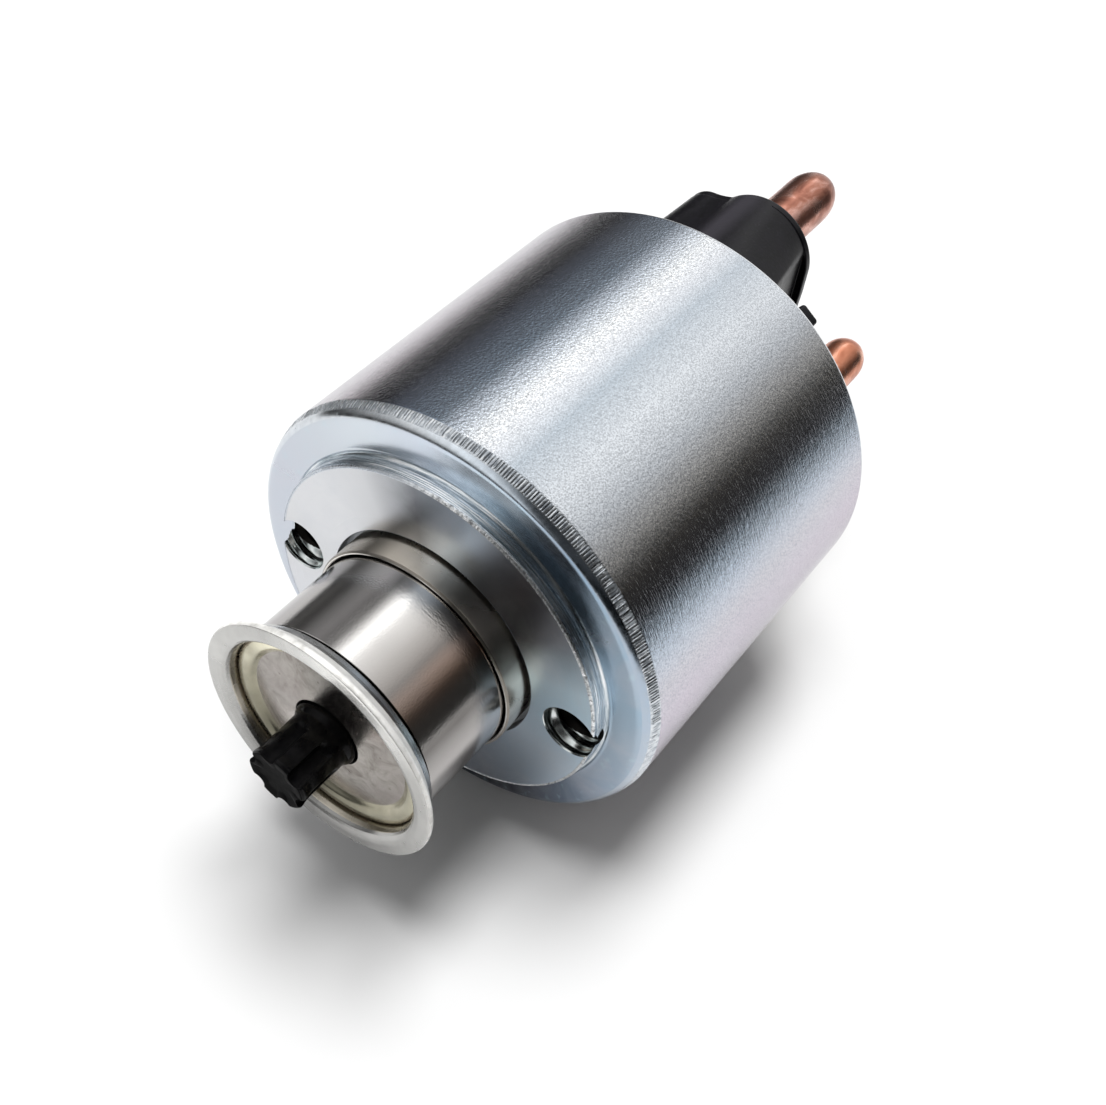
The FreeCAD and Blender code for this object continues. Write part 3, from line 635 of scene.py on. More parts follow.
def plain_metal(name, a, b, rough=(0.25, 0.35), scale=500, bump=0.2):
    m = Mat(name, metallic=1.0)
    n = m.noise(m.scaled(scale, scale, scale), detail=3.0, rough=0.6)
    m.set("color", m.mix(m.span(n, 0.3, 0.7, 0.0, 1.0), a, b))
    m.set("rough", m.span(n, 0.3, 0.7, *rough))
    m.set("normal", m.bump(m.noise(m.scaled(scale * 6, scale * 6, scale * 6), detail=2.0), 0.00003, bump))
    return m.m


def plain_solid(name, a, b, rough=(0.45, 0.6), scale=500, bump=0.2):
    m = Mat(name)
    n = m.noise(m.scaled(scale, scale, scale), detail=3.0, rough=0.6)
    m.set("color", m.mix(m.span(n, 0.3, 0.7, 0.0, 1.0), a, b))
    m.set("rough", m.span(n, 0.3, 0.7, *rough))
    m.set("normal", m.bump(m.noise(m.scaled(scale * 5, scale * 5, scale * 5), detail=2.0), 0.00005, bump))
    return m.m


def coil_wire():
    """Wound enamelled wire: fine turns side by side."""
    m = Mat("coil_wire", metallic=1.0)
    x, y, z = m.split()
    wave = m.math("SINE", m.math("MULTIPLY", x, 2 * math.pi / 0.0008))
    n = m.noise(m.scaled(300, 300, 300), detail=2.0)
    m.set("color", m.mix(m.span(n, 0.3, 0.7, 0.0, 1.0), (0.62, 0.22, 0.10), (0.74, 0.33, 0.16)))
    m.set("rough", m.span(n, 0.3, 0.7, 0.25, 0.4))
    m.set("normal", m.bump(m.span(wave, -1.0, 1.0, 0.0, 1.0), 0.0002, 1.0))
    return m.m


M = {
    "side": zinc_side(), "band": zinc_band(), "face": zinc_face(), "boss": boss_face(), "wall": boss_wall(), "burr": burr(),
    "thread": thread_zinc(), "plunger": satin_nickel(), "tube": tube_steel(), "cup": cup_steel(), "ring": ring_gold(), "cup_back_painted_highlight": cup_back_painted_highlight(),
    # The cup's inner wall gets a darker brown copy of its plate: painted shade in the recess.
    "disc": disc_steel(), "cup_wall_painted_shade": plain_metal("cup_inside_painted_shade", (0.38, 0.35, 0.29), (0.52, 0.48, 0.41), (0.22, 0.32), 300), "stem": stem_black(), "stem_slot_painted_shade": stem_black("stem_slot_painted_shade", 0.02, (0.3, 0.45)), "stem_end_painted_shade": stem_black("stem_end_painted_shade", 0.01, (0.3, 0.45)),
    "cap": cap_black(), "copper": copper(), "copper_small": copper("stud_copper_small", 1.0),
    "coil": coil_wire(), "strip": zinc_strip(),
    "rim": plain_metal("zinc_rim", (0.80, 0.82, 0.85), (0.88, 0.90, 0.92), (0.12, 0.18), 800, 0.1),
    "tube_edge_painted_highlight": plain_metal("tube_edge_painted_highlight", (0.70, 0.68, 0.64), (0.78, 0.76, 0.72), (0.14, 0.20), 800, 0.1),
    "tube_end_painted_shade": plain_metal("tube_end_painted_shade", (0.20, 0.18, 0.16), (0.28, 0.26, 0.23), (0.28, 0.36), 800, 0.1),
    "gap": plain_metal("shaded_gap", (0.012, 0.011, 0.010), (0.024, 0.022, 0.020), (0.45, 0.6)),
    "bore": plain_metal("case_inside", (0.30, 0.32, 0.34), (0.42, 0.44, 0.46), (0.35, 0.5)),
    "core": plain_metal("core_steel", (0.42, 0.43, 0.45), (0.52, 0.53, 0.55)),
    "spring": plain_metal("spring_steel", (0.40, 0.40, 0.42), (0.55, 0.55, 0.57), (0.2, 0.3)),
    "bridge": plain_metal("bridge_copper", (0.70, 0.34, 0.22), (0.82, 0.46, 0.33)),
    "tin": plain_metal("blade_tin", (0.62, 0.63, 0.62), (0.74, 0.75, 0.74), (0.22, 0.34), 700),
    "star": plain_metal("ring_zinc", (0.50, 0.52, 0.55), (0.68, 0.70, 0.72), (0.25, 0.35), 600),
    "bobbin": plain_solid("bobbin_nylon", (0.55, 0.53, 0.46), (0.62, 0.60, 0.53)),
    "paper": plain_solid("wrap_paper", (0.38, 0.27, 0.15), (0.48, 0.36, 0.22), (0.7, 0.85), 900),
    "insulator": plain_solid("insulator_brown", (0.12, 0.05, 0.03), (0.19, 0.09, 0.05)),
    "rubber": plain_solid("seal_rubber", (0.012, 0.012, 0.012), (0.03, 0.03, 0.03), (0.6, 0.75)),
}

CARRIED = {
    "coil_cushion_ring": "rubber", "coil_bobbin": "bobbin", "pull_in_winding": "coil", "hold_in_winding": "coil",
    "coil_wrap": "paper", "yoke_plate": "core", "fixed_core": "core", "return_spring": "spring", "engagement_spring": "gap",
    "contact_rod": "core", "contact_disc": "bridge", "insulating_bush": "insulator", "insulating_washer": "insulator",
    "retaining_clip": "spring", "contact_pressure_spring": "spring", "contact_return_spring": "spring", "cap_gasket": "rubber",
    "battery_stud_seal": "rubber", "motor_stud_seal": "rubber", "trigger_lead": "bridge", "motor_lead": "bridge",
}
for name, key in CARRIED.items():
    o = NODES[name]
    if not o.material_slots:
        o.data.materials.append(M[key])
    for s in o.material_slots:
        s.material = M[key]


def place(ob, body, slot, *nodes):
    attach(ob, body)
    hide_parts(*nodes)
    return ob


# ------------------------------------------------------------------ case
N_CASE = 2240
TICKS = 470


def case_profile():
    wall = [(1.86, 22.43), (1.74, 22.45), (1.62, 22.41), (1.50, 22.45), (1.36, 22.41), (1.22, 22.46), (1.10, 22.42), (0.96, 22.46),
            (0.80, 22.43), (0.66, 22.46), (0.52, 22.43)]
    foot = [(0.36, 22.45), (0.20, 22.48), (0.06, 22.56), (-0.04, 22.66), (-0.06, 22.76), (-0.02, 22.86), (0.03, 22.95), (0.04, 23.04),
            (0.01, 23.16), (0.0, 23.24), (0.0, 23.4), (0.0, 26.0)]
    edge = [(2.2, 21.8), (2.2, 22.04), (2.2, 22.09), (2.23, 22.14), (2.22, 22.20), (2.13, 22.24), (2.12, 22.28), (2.18, 22.33), (2.12, 22.39),
            (2.02, 22.43), (1.95, 22.44)]
    corner = [(0.0, 26.25), (-0.01, 26.45), (-0.05, 26.68), (-0.12, 26.89), (-0.22, 27.08), (-0.34, 27.24), (-0.48, 27.38), (-0.62, 27.49),
              (-0.72, 27.55), (-0.80, 27.59), (-0.90, 27.63), (-1.04, 27.69), (-1.22, 27.76), (-1.42, 27.83), (-1.62, 27.89), (-1.80, 27.94),
              (-1.94, 27.97), (-2.04, 27.99), (-2.14, 28.0), (-2.3, 28.0)]
    return (rounded([(2.2, 14.2, 0.12), (2.2, 21.8)], closed=False)[:1] + [(2.16, 14.215), (2.2, 14.27), (2.2, 14.4)] + edge + wall + foot
            + corner + [(-6.0, 28.0), (-24.0, 28.0), (-44.0, 28.0), (-46.2, 28.0)]
            + [(-46.38, 27.995), (-46.52, 27.96), (-46.66, 27.88), (-46.77, 27.76), (-46.85, 27.62), (-46.89, 27.46), (-46.9, 27.3), (-46.9, 27.1)]
            + [(-46.9, 25.3), (-46.87, 25.12), (-46.78, 25.03), (-46.6, 25.0), (-45.4, 25.0), (-45.4, 26.0),
               (-5.3, 26.0), (-5.09, 25.91), (-5.0, 25.7), (-5.0, 13.65), (0.8, 13.65), (0.8, 14.2), (2.06, 14.2)])


def case_stride(x, r):
    if -2.09 < x < -0.68 and r > 27.3 or x > 1.9 and 22.0 < r < 22.5:
        return 1
    return 4 if x > -2.5 and r > 14.1 else 8


def case_change(X, R, ang):
    X, R = X.copy(), R.copy()
    rng = np.random.default_rng(7)
    n = len(ang)
    # short notches round the corner band
    centres = (np.arange(TICKS) + rng.uniform(-0.17, 0.17, TICKS)) * 2 * math.pi / TICKS
    width = rng.uniform(0.22, 0.30, TICKS) * 2 * math.pi / TICKS
    depth = rng.uniform(0.45, 1.0, TICKS)
    strength = np.interp(np.degrees(ang) % 360, [0, 25, 40, 80, 92, 104, 116, 128, 150, 170, 200, 250, 300, 340, 360],
                         [0.55, 0.9, 1.0, 1.0, 0.75, 0.40, 0.40, 0.55, 0.6, 0.4, 0.2, 0.3, 0.25, 0.35, 0.55])
    cut = np.zeros(n)
    for c, w, d in zip(centres, width, depth):
        k0 = int(round(c / (2 * math.pi) * n))
        for k in range(k0 - 4, k0 + 5):
            a = k * 2 * math.pi / n
            cut[k % n] = max(cut[k % n], d * math.exp(-((a - c) / w) ** 2 * 2.0))
    cut *= strength
    start = 0.05 * cosines(ang, 40, 300, 40, rng)
    for i in range(X.shape[0]):
        x, r = X[i, 0], R[i, 0]
        if -2.08 < x < -0.74 and r > 27.4:
            lo = np.clip((-0.80 + start - x) / 0.12, 0, 1)
            hi = min(max((x + 2.10) / 0.20, 0), 1)
            R[i] -= 0.11 * lo * hi * cut
    # thin torn lip on the boss's edge
    edge = cosines(ang, 60, 420, 50, rng) + 0.6 * cosines(ang, 8, 40, 12, rng)
    bite = np.clip(cosines(ang, 90, 500, 60, rng) - 0.35, 0, 1)
    other = np.clip(cosines(ang, 120, 620, 60, rng) - 0.3, 0, 1)
    torn = np.interp(np.degrees(ang) % 360, [0, 20, 85, 110, 200, 300, 340, 360], [1.0, 1.0, 1.0, 0.3, 0.2, 0.3, 0.7, 1.0])
    for i in range(X.shape[0]):
        x, r = X[i, 0], R[i, 0]
        if x > 1.99 and 22.1 < r < 22.42:
            w = math.sin(math.pi * min(max((r - 22.08) / 0.36, 0), 1)) ** 0.5
            X[i] += w * torn * (0.014 * edge - (0.11 * bite if r > 22.22 else 0.06 * other))
            R[i] += w * torn * (0.014 * edge)
            X[i] = np.minimum(X[i], 2.25)
    return X, R


def case_pick(x, r, t):
    if r < 14.3 and x > -1 or r < 13.8:
        return 6
    if x > 2.1 and r < 22.07:
        return 0
    if x > 1.9 and r > 22.06:
        return 1
    if x > 0.0 and r < 22.62 or x > -0.1 and r < 22.9:
        return 2
    if x > -0.1 and r < 26.8:
        return 3
    if x > -0.75 and r > 26.7:
        return 8
    if x > -2.06 and r > 27.0:
        return 4
    # The rounded rear edge gets a paler, smoother zinc: a painted highlight line.
    if x < -46.3 and r > 27.3:
        return 9
    if r > 26.5 or x < -46.2:
        return 5
    return 6


case = turned("case_shell", case_profile(), N_CASE,
              [M["boss"], M["burr"], M["wall"], M["face"], M["band"], M["side"], M["bore"], M["thread"], M["strip"], M["rim"]], case_pick,
              change=case_change, stride=case_stride, sharp=30)


def tapped_cutter(y, n=96, turn=0.0):
    """Cutter for one fixing hole: widened, polished mouth that breaks through the boss's side, then an M6 thread."""
    xs = np.concatenate([np.linspace(-5.6, -0.9, 80), np.linspace(-0.84, 2.06, 46), [2.1, 2.14, 2.18, 2.22, 2.8]])
    th = np.arange(n) * 2 * math.pi / n
    rings = []
    for x in xs:
        ph = (x / 1.7 - th / (2 * math.pi) + turn) % 1.0
        ridge = 0.5 + 0.5 * np.cos(2 * math.pi * ph)
        mouth = min(max((x + 0.7) / 1.6, 0.0), 1.0)
        mouth = mouth * mouth * (3 - 2 * mouth)
        deep = min(max((1.75 - x) / 0.5, 0.0), 1.0)
        r = 3.0 + 0.40 * mouth - (0.44 - 0.10 * mouth) * ridge * deep
        if x > 2.0:
            r = r + 0.10 * min((x - 2.0) / 0.2, 1.0) ** 2
        rings.append(np.stack([np.full(n, x), y + r * np.cos(th), r * np.sin(th)], 1))
    verts = np.concatenate(rings)
    faces, index = [], []
    for i in range(len(xs) - 1):
        for j in range(n):
            j2 = (j + 1) % n
            faces.append((i * n + j, i * n + j2, (i + 1) * n + j2, (i + 1) * n + j))
            index.append(0 if xs[i] > -0.15 + 0.25 * math.sin(th[j] * 2 + 1.0) else 1)
    faces.append(tuple(range(n))[::-1])
    faces.append(tuple(range((len(xs) - 1) * n, len(xs) * n)))
    index += [1, 0]
    ob = make_object("cutter", verts, faces, [M["thread"], M["gap"]], index)
    outward(ob)
    return ob


for side, turn in ((1, 0.35), (-1, 0.1)):
    boolean(case, tapped_cutter(side * 19.5, turn=turn), "DIFFERENCE")
place(case, "housing", "zinc_steel", "solenoid_case")

# ------------------------------------------------------------------ guide tube
# The front lip: a pale, smoother chamfer paints a highlight line and a darker outer chamfer paints a shaded line.
tube = turned("tube_ring", rounded([
    (5.44, 13.24, 0.02), (5.52, 13.34), (5.50, 13.46), (5.41, 13.57), (5.28, 13.64, 0.05), (5.1, 13.65), (-38.0, 13.65), (-38.0, 13.1), (5.3, 13.1, 0.04)]),
    384, [M["tube"], M["gap"], M["tube_edge_painted_highlight"], M["tube_end_painted_shade"]],
    lambda x, r, t: 1 if r < 13.24 else 2 if x > 5.40 and r < 13.47 else 3 if x > 5.27 and r > 13.4 else 0)
place(tube, "housing", "tube_steel", "guide_tube")

# ------------------------------------------------------------------ plunger, cup, bead, disc
plunger = turned("plunger_bar", rounded([
    (18.2, 6.5), (18.2, 12.2), (17.8, 12.2), (17.8, 13.0, 0.12), (-18.4, 13.0, 0.4), (-18.4, 6.4, 0.2), (-12.4, 6.4), (-12.4, 0),
    (6.0, 0), (6.0, 6.5)]), 384, [M["plunger"], M["gap"]], lambda x, r, t: 1 if x > 17.65 and r < 12.87 else 0)
place(plunger, "plunger", "satin_nickel", "plunger")

cup = turned("cup_shell", rounded([
    (18.2, 11.0), (18.2, 13.42, 0.12), (18.38, 13.6, 0.15), (18.9, 13.85, 0.5), (19.5, 14.35, 0.8), (20.0, 14.90, 0.6), (20.33, 15.32, 0.4),
    (20.58, 15.60, 0.2), (20.82, 15.70, 0.15), (21.10, 15.69, 0.10), (21.27, 15.62, 0.08), (21.35, 15.42, 0.2), (21.35, 14.15, 0.5), (21.24, 13.62, 0.4), (20.98, 13.24, 0.4),
    (20.55, 12.98, 0.4), (20.05, 12.84, 0.3), (19.5, 12.88, 0.1), (19.3, 12.93), (19.05, 13.0), (18.9, 12.9), (18.9, 11.0)], step=8), 384, [M["cup"], M["gap"], M["cup_wall_painted_shade"], M["cup_back_painted_highlight"]],
    lambda x, r, t: 1 if x < 18.3 and r < 13.5 else 2 if 18.5 < x < 20.7 and r < 13.05 else 3 if 19.2 < x < 21.24 and r > 14.2 else 0)
place(cup, "plunger", "cup_steel", "plunger_cup")


def bead_profile():
    pts = [(18.9, 11.0), (18.9, 12.85)]
    ctl = [(19.05, 12.95), (19.42, 12.88), (19.62, 12.68), (19.72, 12.36), (19.75, 11.98), (19.72, 11.62), (19.63, 11.30),
           (19.48, 11.02), (19.30, 10.84), (19.12, 10.66), (19.02, 10.52)]
    pts += ctl
    pts += [(19.0, 10.5), (19.0, 11.0)]
    return pts


bead = turned("bead_ring", bead_profile(), 384, [M["ring"]], sharp=40)
place(bead, "plunger", "ring_yellow", "cup_retaining_ring")

disc = turned("end_disc", rounded([
    (18.65, 4.35), (18.2, 10.6), (18.2, 10.9), (19.0, 10.9), (19.0, 10.55, 0.8), (19.15, 8.6, 1.0), (19.45, 4.35, 0.14)]), 256, [M["disc"], M["gap"]],
    lambda x, r, t: 1 if r < 4.4 or x < 18.9 and r < 10.5 else 0)
place(disc, "plunger", "disc_steel", "plunger_end_disc")


# ------------------------------------------------------------------ stem
def stem_rings():
    n = 360
    th = np.arange(n) * 2 * math.pi / n

    def outline(r_out, cut):
        """Round bar with six round flutes; cut runs from 0, no flutes, to 1."""
        r = np.full(n, r_out)
        if cut > 0:
            for k in range(6):
                d = (th - math.radians(46.0 + 60.0 * k) + math.pi) % (2 * math.pi) - math.pi
                c = 3.88 + (1 - cut) * 1.2
                q = 1.00 ** 2 - (c * np.sin(d)) ** 2
                f = np.where((q > 0) & (np.abs(d) < 1), c * np.cos(d) - np.sqrt(np.maximum(q, 0)), 99.0)
                r = np.minimum(r, f)
            for _ in range(2):
                r = np.minimum(r, (np.roll(r, 1) + 2 * r + np.roll(r, -1)) / 4)
        return r

    st = [(6.0, 6.0, 0), (8.0, 6.0, 0), (8.0, 3.7, 0), (8.8, 3.7, 0), (18.6, 3.7, 0), (18.9, 4.05, 0), (19.2, 4.12, 0),
          (19.7, 4.12, 0), (20.0, 4.03, 0), (20.25, 3.86, 0), (20.5, 3.72, 0), (20.7, 3.68, 0), (21.2, 3.68, 0), (21.6, 3.68, 0.35), (22.0, 3.68, 0.7),
          (22.4, 3.68, 1)]
    st += [(x, 3.68, 1) for x in np.linspace(23.0, 25.5, 6)]
    st += [(25.8, 3.69, 1), (26.1, 3.73, 1), (26.45, 3.80, 1), (26.7, 3.85, 1), (26.92, 3.86, 1), (27.0, 3.84, 1), (27.08, 3.79, 1), (27.16, 3.70, 1),
           (27.2, 3.62, 1), (27.2, 3.55, 1)]
    rings = []
    for x, ro, cut in st:
        r = outline(ro, cut)
        rings.append(np.stack([np.full(n, x), r * np.cos(th), r * np.sin(th)], 1))
    last = outline(3.55, 1)
    for x, f in ((27.17, 0.86), (27.05, 0.74), (27.02, 0.6), (27.02, 0.15)):
        rings.append(np.stack([np.full(n, x), f * last * np.cos(th), f * last * np.sin(th)], 1))
    return rings


def capped(name, rings, mats, sharp=32.0, pick=None):
    n = len(rings[0])
    verts = np.concatenate(rings)
    faces, index = [], []
    for i in range(len(rings) - 1):
        for j in range(n):
            j2 = (j + 1) % n
            faces.append((i * n + j, (i + 1) * n + j, (i + 1) * n + j2, i * n + j2))
            mid = (rings[i][j] + rings[i + 1][j2]) / 2
            index.append(pick(mid[0], math.hypot(mid[1], mid[2])) if pick else 0)
    faces.append(tuple(range(n)))
    faces.append(tuple(range((len(rings) - 1) * n, len(rings) * n))[::-1])
    index += [0, len(mats) - 1]
    ob = make_object(name, verts, faces, mats, index, sharp)
    outward(ob)
    ob.data.set_sharp_from_angle(angle=math.radians(sharp))
    return ob


# The flutes and the end face get copies of the black with their reflection turned down, so they read darker: painted
# shade.
stem = capped("stem_bar", stem_rings(), [M["stem"], M["stem_slot_painted_shade"], M["stem_end_painted_shade"]],
              pick=lambda x, r: 2 if x > 27.12 or x > 27.0 and r < 3.3 else 1 if x > 21.3 and r < 3.35 else 0)
place(stem, "stem", "stem_plastic", "engagement_stem")


# ------------------------------------------------------------------ studs
def dome(tip, length, r, k=14):
    """Ellipse from the bar's side to the tip."""
    out = []
    for i in range(k + 1):
        a = math.pi / 2 * i / k
        out.append((tip + length - length * math.sin(a), r * math.cos(a)))
    out[-1] = (tip, 0.0)
    return out


def stud_profile(r, tip, length, neck_r, neck_x):
    return [(-47.75, 0.0), (-47.75, neck_r), (neck_x + 0.25, neck_r), (neck_x, neck_r - 0.12), (neck_x, r + 0.05), (neck_x - 0.1, r),
            ] + [(x, r) for x in np.linspace(neck_x - 0.6, tip + length + 0.2, 8)] + dome(tip, length, r)


def wobble(seed, amount, axis_r):
    def change(X, R, ang):
        rng = np.random.default_rng(seed)
        out = R.copy()
        slow = cosines(ang, 2, 5, 4, rng)
        for i in range(X.shape[0]):
            f = math.sin(X[i, 0] * 0.9 + seed)
            out[i] = R[i] + amount * (slow * f) * min(1.0, R[i, 0] / axis_r)
        return X, out
    return change


for name, node, (cy, cz), r, tip, ln, nr, nx, mat in (
        ("battery_stud_bar", "battery_stud", (-1.0, 16.7), 3.5, -82.0, 5.2, 4.0, -63.4, "copper"),
        ("motor_stud_bar", "motor_stud", (13.9, 3.8), 3.0, -71.0, 3.8, 3.4, -54.9, "copper_small")):
    bar = turned(name, stud_profile(r - 0.02, tip, ln, nr, nx), 128, [M[mat]], centre=(cy, cz), change=wobble(5, 0.018, r), sharp=30)
    head_in, head_w = 8.0, (11.0 if node == "battery_stud" else 9.0)
    dist = math.hypot(cy, cz)
    far = dist + nr + 0.6
    a = math.atan2(cz, cy)
    # head inside the cap: a flat bar, rounded at its outer end
    pts = [(head_in, -head_w / 2), (far - 1.6, -head_w / 2), (far - 0.5, -head_w / 2 + 0.8), (far, -head_w / 2 + 2.2),
           (far, head_w / 2 - 2.2), (far - 0.5, head_w / 2 - 0.8), (far - 1.6, head_w / 2), (head_in, head_w / 2)]
    vv = []
    for x in (-49.2, -47.25):
        for u, w in pts:
            u = min(u, math.sqrt(max(21.2 ** 2 - w * w, 0)))
            vv.append((x, u * math.cos(a) - w * math.sin(a), u * math.sin(a) + w * math.cos(a)))
    k = len(pts)
    ff = [tuple(range(k)), tuple(range(k, 2 * k))[::-1]] + [(i, k + i, k + (i + 1) % k, (i + 1) % k) for i in range(k)]
    head = make_object("head", vv, ff, [M[mat]])
    outward(head)
    boolean(bar, head, "UNION", sharp=30)
    place(bar, "housing", "copper", node)


# ------------------------------------------------------------------ terminal cap
def arc3(a, b, c, k):
    """Points on the circle through a, b and c, from a to c."""
    (ax, ay), (bx, by), (cx, cy) = a, b, c
    d = 2 * (ax * (by - cy) + bx * (cy - ay) + cx * (ay - by))
    ux = ((ax * ax + ay * ay) * (by - cy) + (bx * bx + by * by) * (cy - ay) + (cx * cx + cy * cy) * (ay - by)) / d
    uy = ((ax * ax + ay * ay) * (cx - bx) + (bx * bx + by * by) * (ax - cx) + (cx * cx + cy * cy) * (bx - ax)) / d
    r = math.hypot(ax - ux, ay - uy)
    t0, t1, t2 = (math.atan2(p[1] - uy, p[0] - ux) for p in (a, b, c))
    d1 = (t1 - t0) % (2 * math.pi)
    d2 = (t2 - t0) % (2 * math.pi)
    if d1 > d2:
        d2 -= 2 * math.pi
    return [(ux + r * math.cos(t0 + d2 * i / k), uy + r * math.sin(t0 + d2 * i / k)) for i in range(k)]


def outline(pts, k=24):
    out, i, n = [], 0, len(pts)
    while i < n:
        a, b = pts[i], pts[(i + 1) % n]
        if len(b) == 3:
            c = pts[(i + 2) % n]
            out += arc3(a[:2], b[:2], c[:2], k)
            i += 2
        else:
            out += [(a[0] + (b[0] - a[0]) * t / 8, a[1] + (b[1] - a[1]) * t / 8) for t in range(8)]
            i += 1
    return np.array(out)


SEEN = (-1.0, 16.7)
N_TOWER = 384


def polar_outline(pts, soften=3):
    """Outline as a radius at N_TOWER even angles about the large stud."""
    p = outline(pts) - np.array(SEEN)
    p = np.vstack([p, p[:1]])
    seg_a, seg_b = p[:-1], p[1:]
    th = np.arange(N_TOWER) * 2 * math.pi / N_TOWER
    rr = np.zeros(N_TOWER)
    for i, t in enumerate(th):
        d = np.array([math.cos(t), math.sin(t)])
        e = seg_b - seg_a
        den = e[:, 0] * d[1] - e[:, 1] * d[0]
        den = np.where(np.abs(den) < 1e-12, 1e-12, den)
        s = -(seg_a[:, 0] * d[1] - seg_a[:, 1] * d[0]) / den
        hit = (s >= -1e-9) & (s <= 1 + 1e-9)
        q = seg_a + e * s[:, None]
        dist = q @ d
        dist = dist[hit & (dist > 0)]
        rr[i] = dist.max()
    for _ in range(soften):
        rr = (np.roll(rr, 1) + 2 * rr + np.roll(rr, -1)) / 4
    return rr


R_END = polar_outline([
    (6.0, 20.9), (0.2, 24.85, 1), (-5.3, 22.75), (-6.5, 22.35, 1), (-7.6, 22.1), (-10.1, 20.9, 1), (-10.75, 18.4),
    (-10.75, 11.5), (-9.9, 9.4, 1), (-7.8, 8.6), (3.6, 8.6), (5.6, 9.3, 1), (6.4, 11.2)])
R_BASE = polar_outline([
    (8.35, 23.3), (0.6, 24.9, 1), (-5.2, 23.05), (-6.5, 22.75, 1), (-7.8, 22.5), (-10.4, 21.2, 1), (-11.1, 18.4),
    (-11.1, 11.5), (-10.2, 8.9, 1), (-7.8, 8.0), (5.8, 8.0), (8.0, 8.9, 1), (8.9, 11.2)])
R_LIP = np.maximum(polar_outline([
    (0.0, 24.85), (4.9, 22.9, 1), (7.25, 18.6), (7.45, 15.0), (7.45, 11.5), (6.6, 9.5, 1), (4.6, 8.6), (0.0, 8.6), (-3.0, 12.0), (-3.0, 21.0)]), R_END)


def tower():
    th = np.arange(N_TOWER) * 2 * math.pi / N_TOWER

    def at(x):
        t = (x - (-47.5)) / (-62.5 + 47.5)
        return R_BASE + (R_END - R_BASE) * t

    def ring(x, r):
        return np.stack([np.full(N_TOWER, x), SEEN[0] + r * np.cos(th), SEEN[1] + r * np.sin(th)], 1)

    rings = [ring(x, at(x)) for x in np.linspace(-48.0, -60.9, 16)]
    # step out to the lip, rounded, then the rounded end edge
    rings += [ring(-61.05, at(-61.05)), ring(-61.15, at(-61.15) + 0.10 * (R_LIP - at(-61.15))),
              ring(-61.22, at(-61.2) + 0.5 * (R_LIP - at(-61.2))), ring(-61.28, R_LIP - 0.10 * np.sign(R_LIP - R_END)),
              ring(-61.38, R_LIP)]
    f = 0.45
    rings.append(ring(-62.5 + f + 0.05, R_LIP))
    for k in range(1, 7):
        a = math.pi / 2 * k / 6
        rings.append(ring(-62.5 + f - f * math.sin(a), R_LIP - f * (1 - math.cos(a))))
    rings.append(ring(-62.5, R_LIP - f - 0.06))
    rings.append(ring(-62.5, 0.5 * (R_LIP - f) + 0.5 * 4.6))
    rings.append(ring(-62.5, np.full(N_TOWER, 4.6)))
    rings.append(ring(-62.44, np.full(N_TOWER, 4.3)))
    rings.append(ring(-62.2, np.full(N_TOWER, 4.06)))
    rings.append(ring(-55.0, np.full(N_TOWER, 4.03)))
    rings.append(ring(-48.0, np.full(N_TOWER, 4.03)))
    verts = np.concatenate(rings)
    ob = make_object("tower", verts, grid_loop(rings), [M["cap"]], sharp=40)
    outward(ob)
    return ob


def rounded_box(name, x0, x1, y0, y1, z0, z1, f, turn=0.0, k=4):
    """Box with rounded edges and corners, turned about the X axis."""
    bm = bmesh.new()
    bmesh.ops.create_cube(bm, size=1.0)
    for v in bm.verts:
        v.co = Vector(((x0 + x1) / 2 + v.co.x * (x1 - x0), (y0 + y1) / 2 + v.co.y * (y1 - y0), (z0 + z1) / 2 + v.co.z * (z1 - z0)))
    bmesh.ops.bevel(bm, geom=list(bm.edges), offset=f, segments=k, affect="EDGES", profile=0.5)
    bmesh.ops.rotate(bm, verts=bm.verts, cent=(0, 0, 0), matrix=Matrix.Rotation(math.radians(turn), 3, "X"))
    me = bpy.data.meshes.new(name)
    bmesh.ops.scale(bm, vec=(MM, MM, MM), verts=bm.verts)
    bm.to_mesh(me)
    bm.free()
    me.materials.append(M["cap"])
    ob = bpy.data.objects.new(name, me)
    bpy.context.scene.collection.objects.link(ob)
    return ob


cap = turned("cap_shell", rounded([
    (-41.9, 21.6), (-41.9, 25.9), (-45.4, 25.9), (-45.4, 24.8), (-49.5, 24.8, 0.5), (-52.0, 22.3, 0.4), (-52.0, 6.4, 0.3),
    (-57.6, 6.2, 0.3), (-58.5, 5.3, 0.3), (-58.5, 0), (-56.5, 0), (-56.5, 4.4), (-49.2, 4.4), (-49.2, 21.6)]), 256, [M["cap"]])
pad = turned("pad", rounded([(-51.0, 0), (-51.0, 7.2), (-53.6, 7.0, 0.3), (-54.0, 6.6, 0.3), (-54.0, 0)]), 128, [M["cap"]],
             centre=(13.9, 3.8))
parts = [tower(), pad,
         rounded_box("web", -53.6, -51.0, 4.0, 12.0, 0.4, 4.4, 0.25),
         rounded_box("lug", -52.3, -49.1, -1.4, 1.4, 21.4, 24.3, 0.45, -31.0),
         rounded_box("foot", -54.2, -51.0, -17.4, -12.6, -10.2, -0.8, 0.35)]
parts += [rounded_box("rib", -53.2, -51.0, 6.0, 21.0, -0.8, 0.8, 0.25, d) for d in (212, 244, 276, 308)]
for p in parts:
    boolean(cap, p, "UNION", sharp=28)
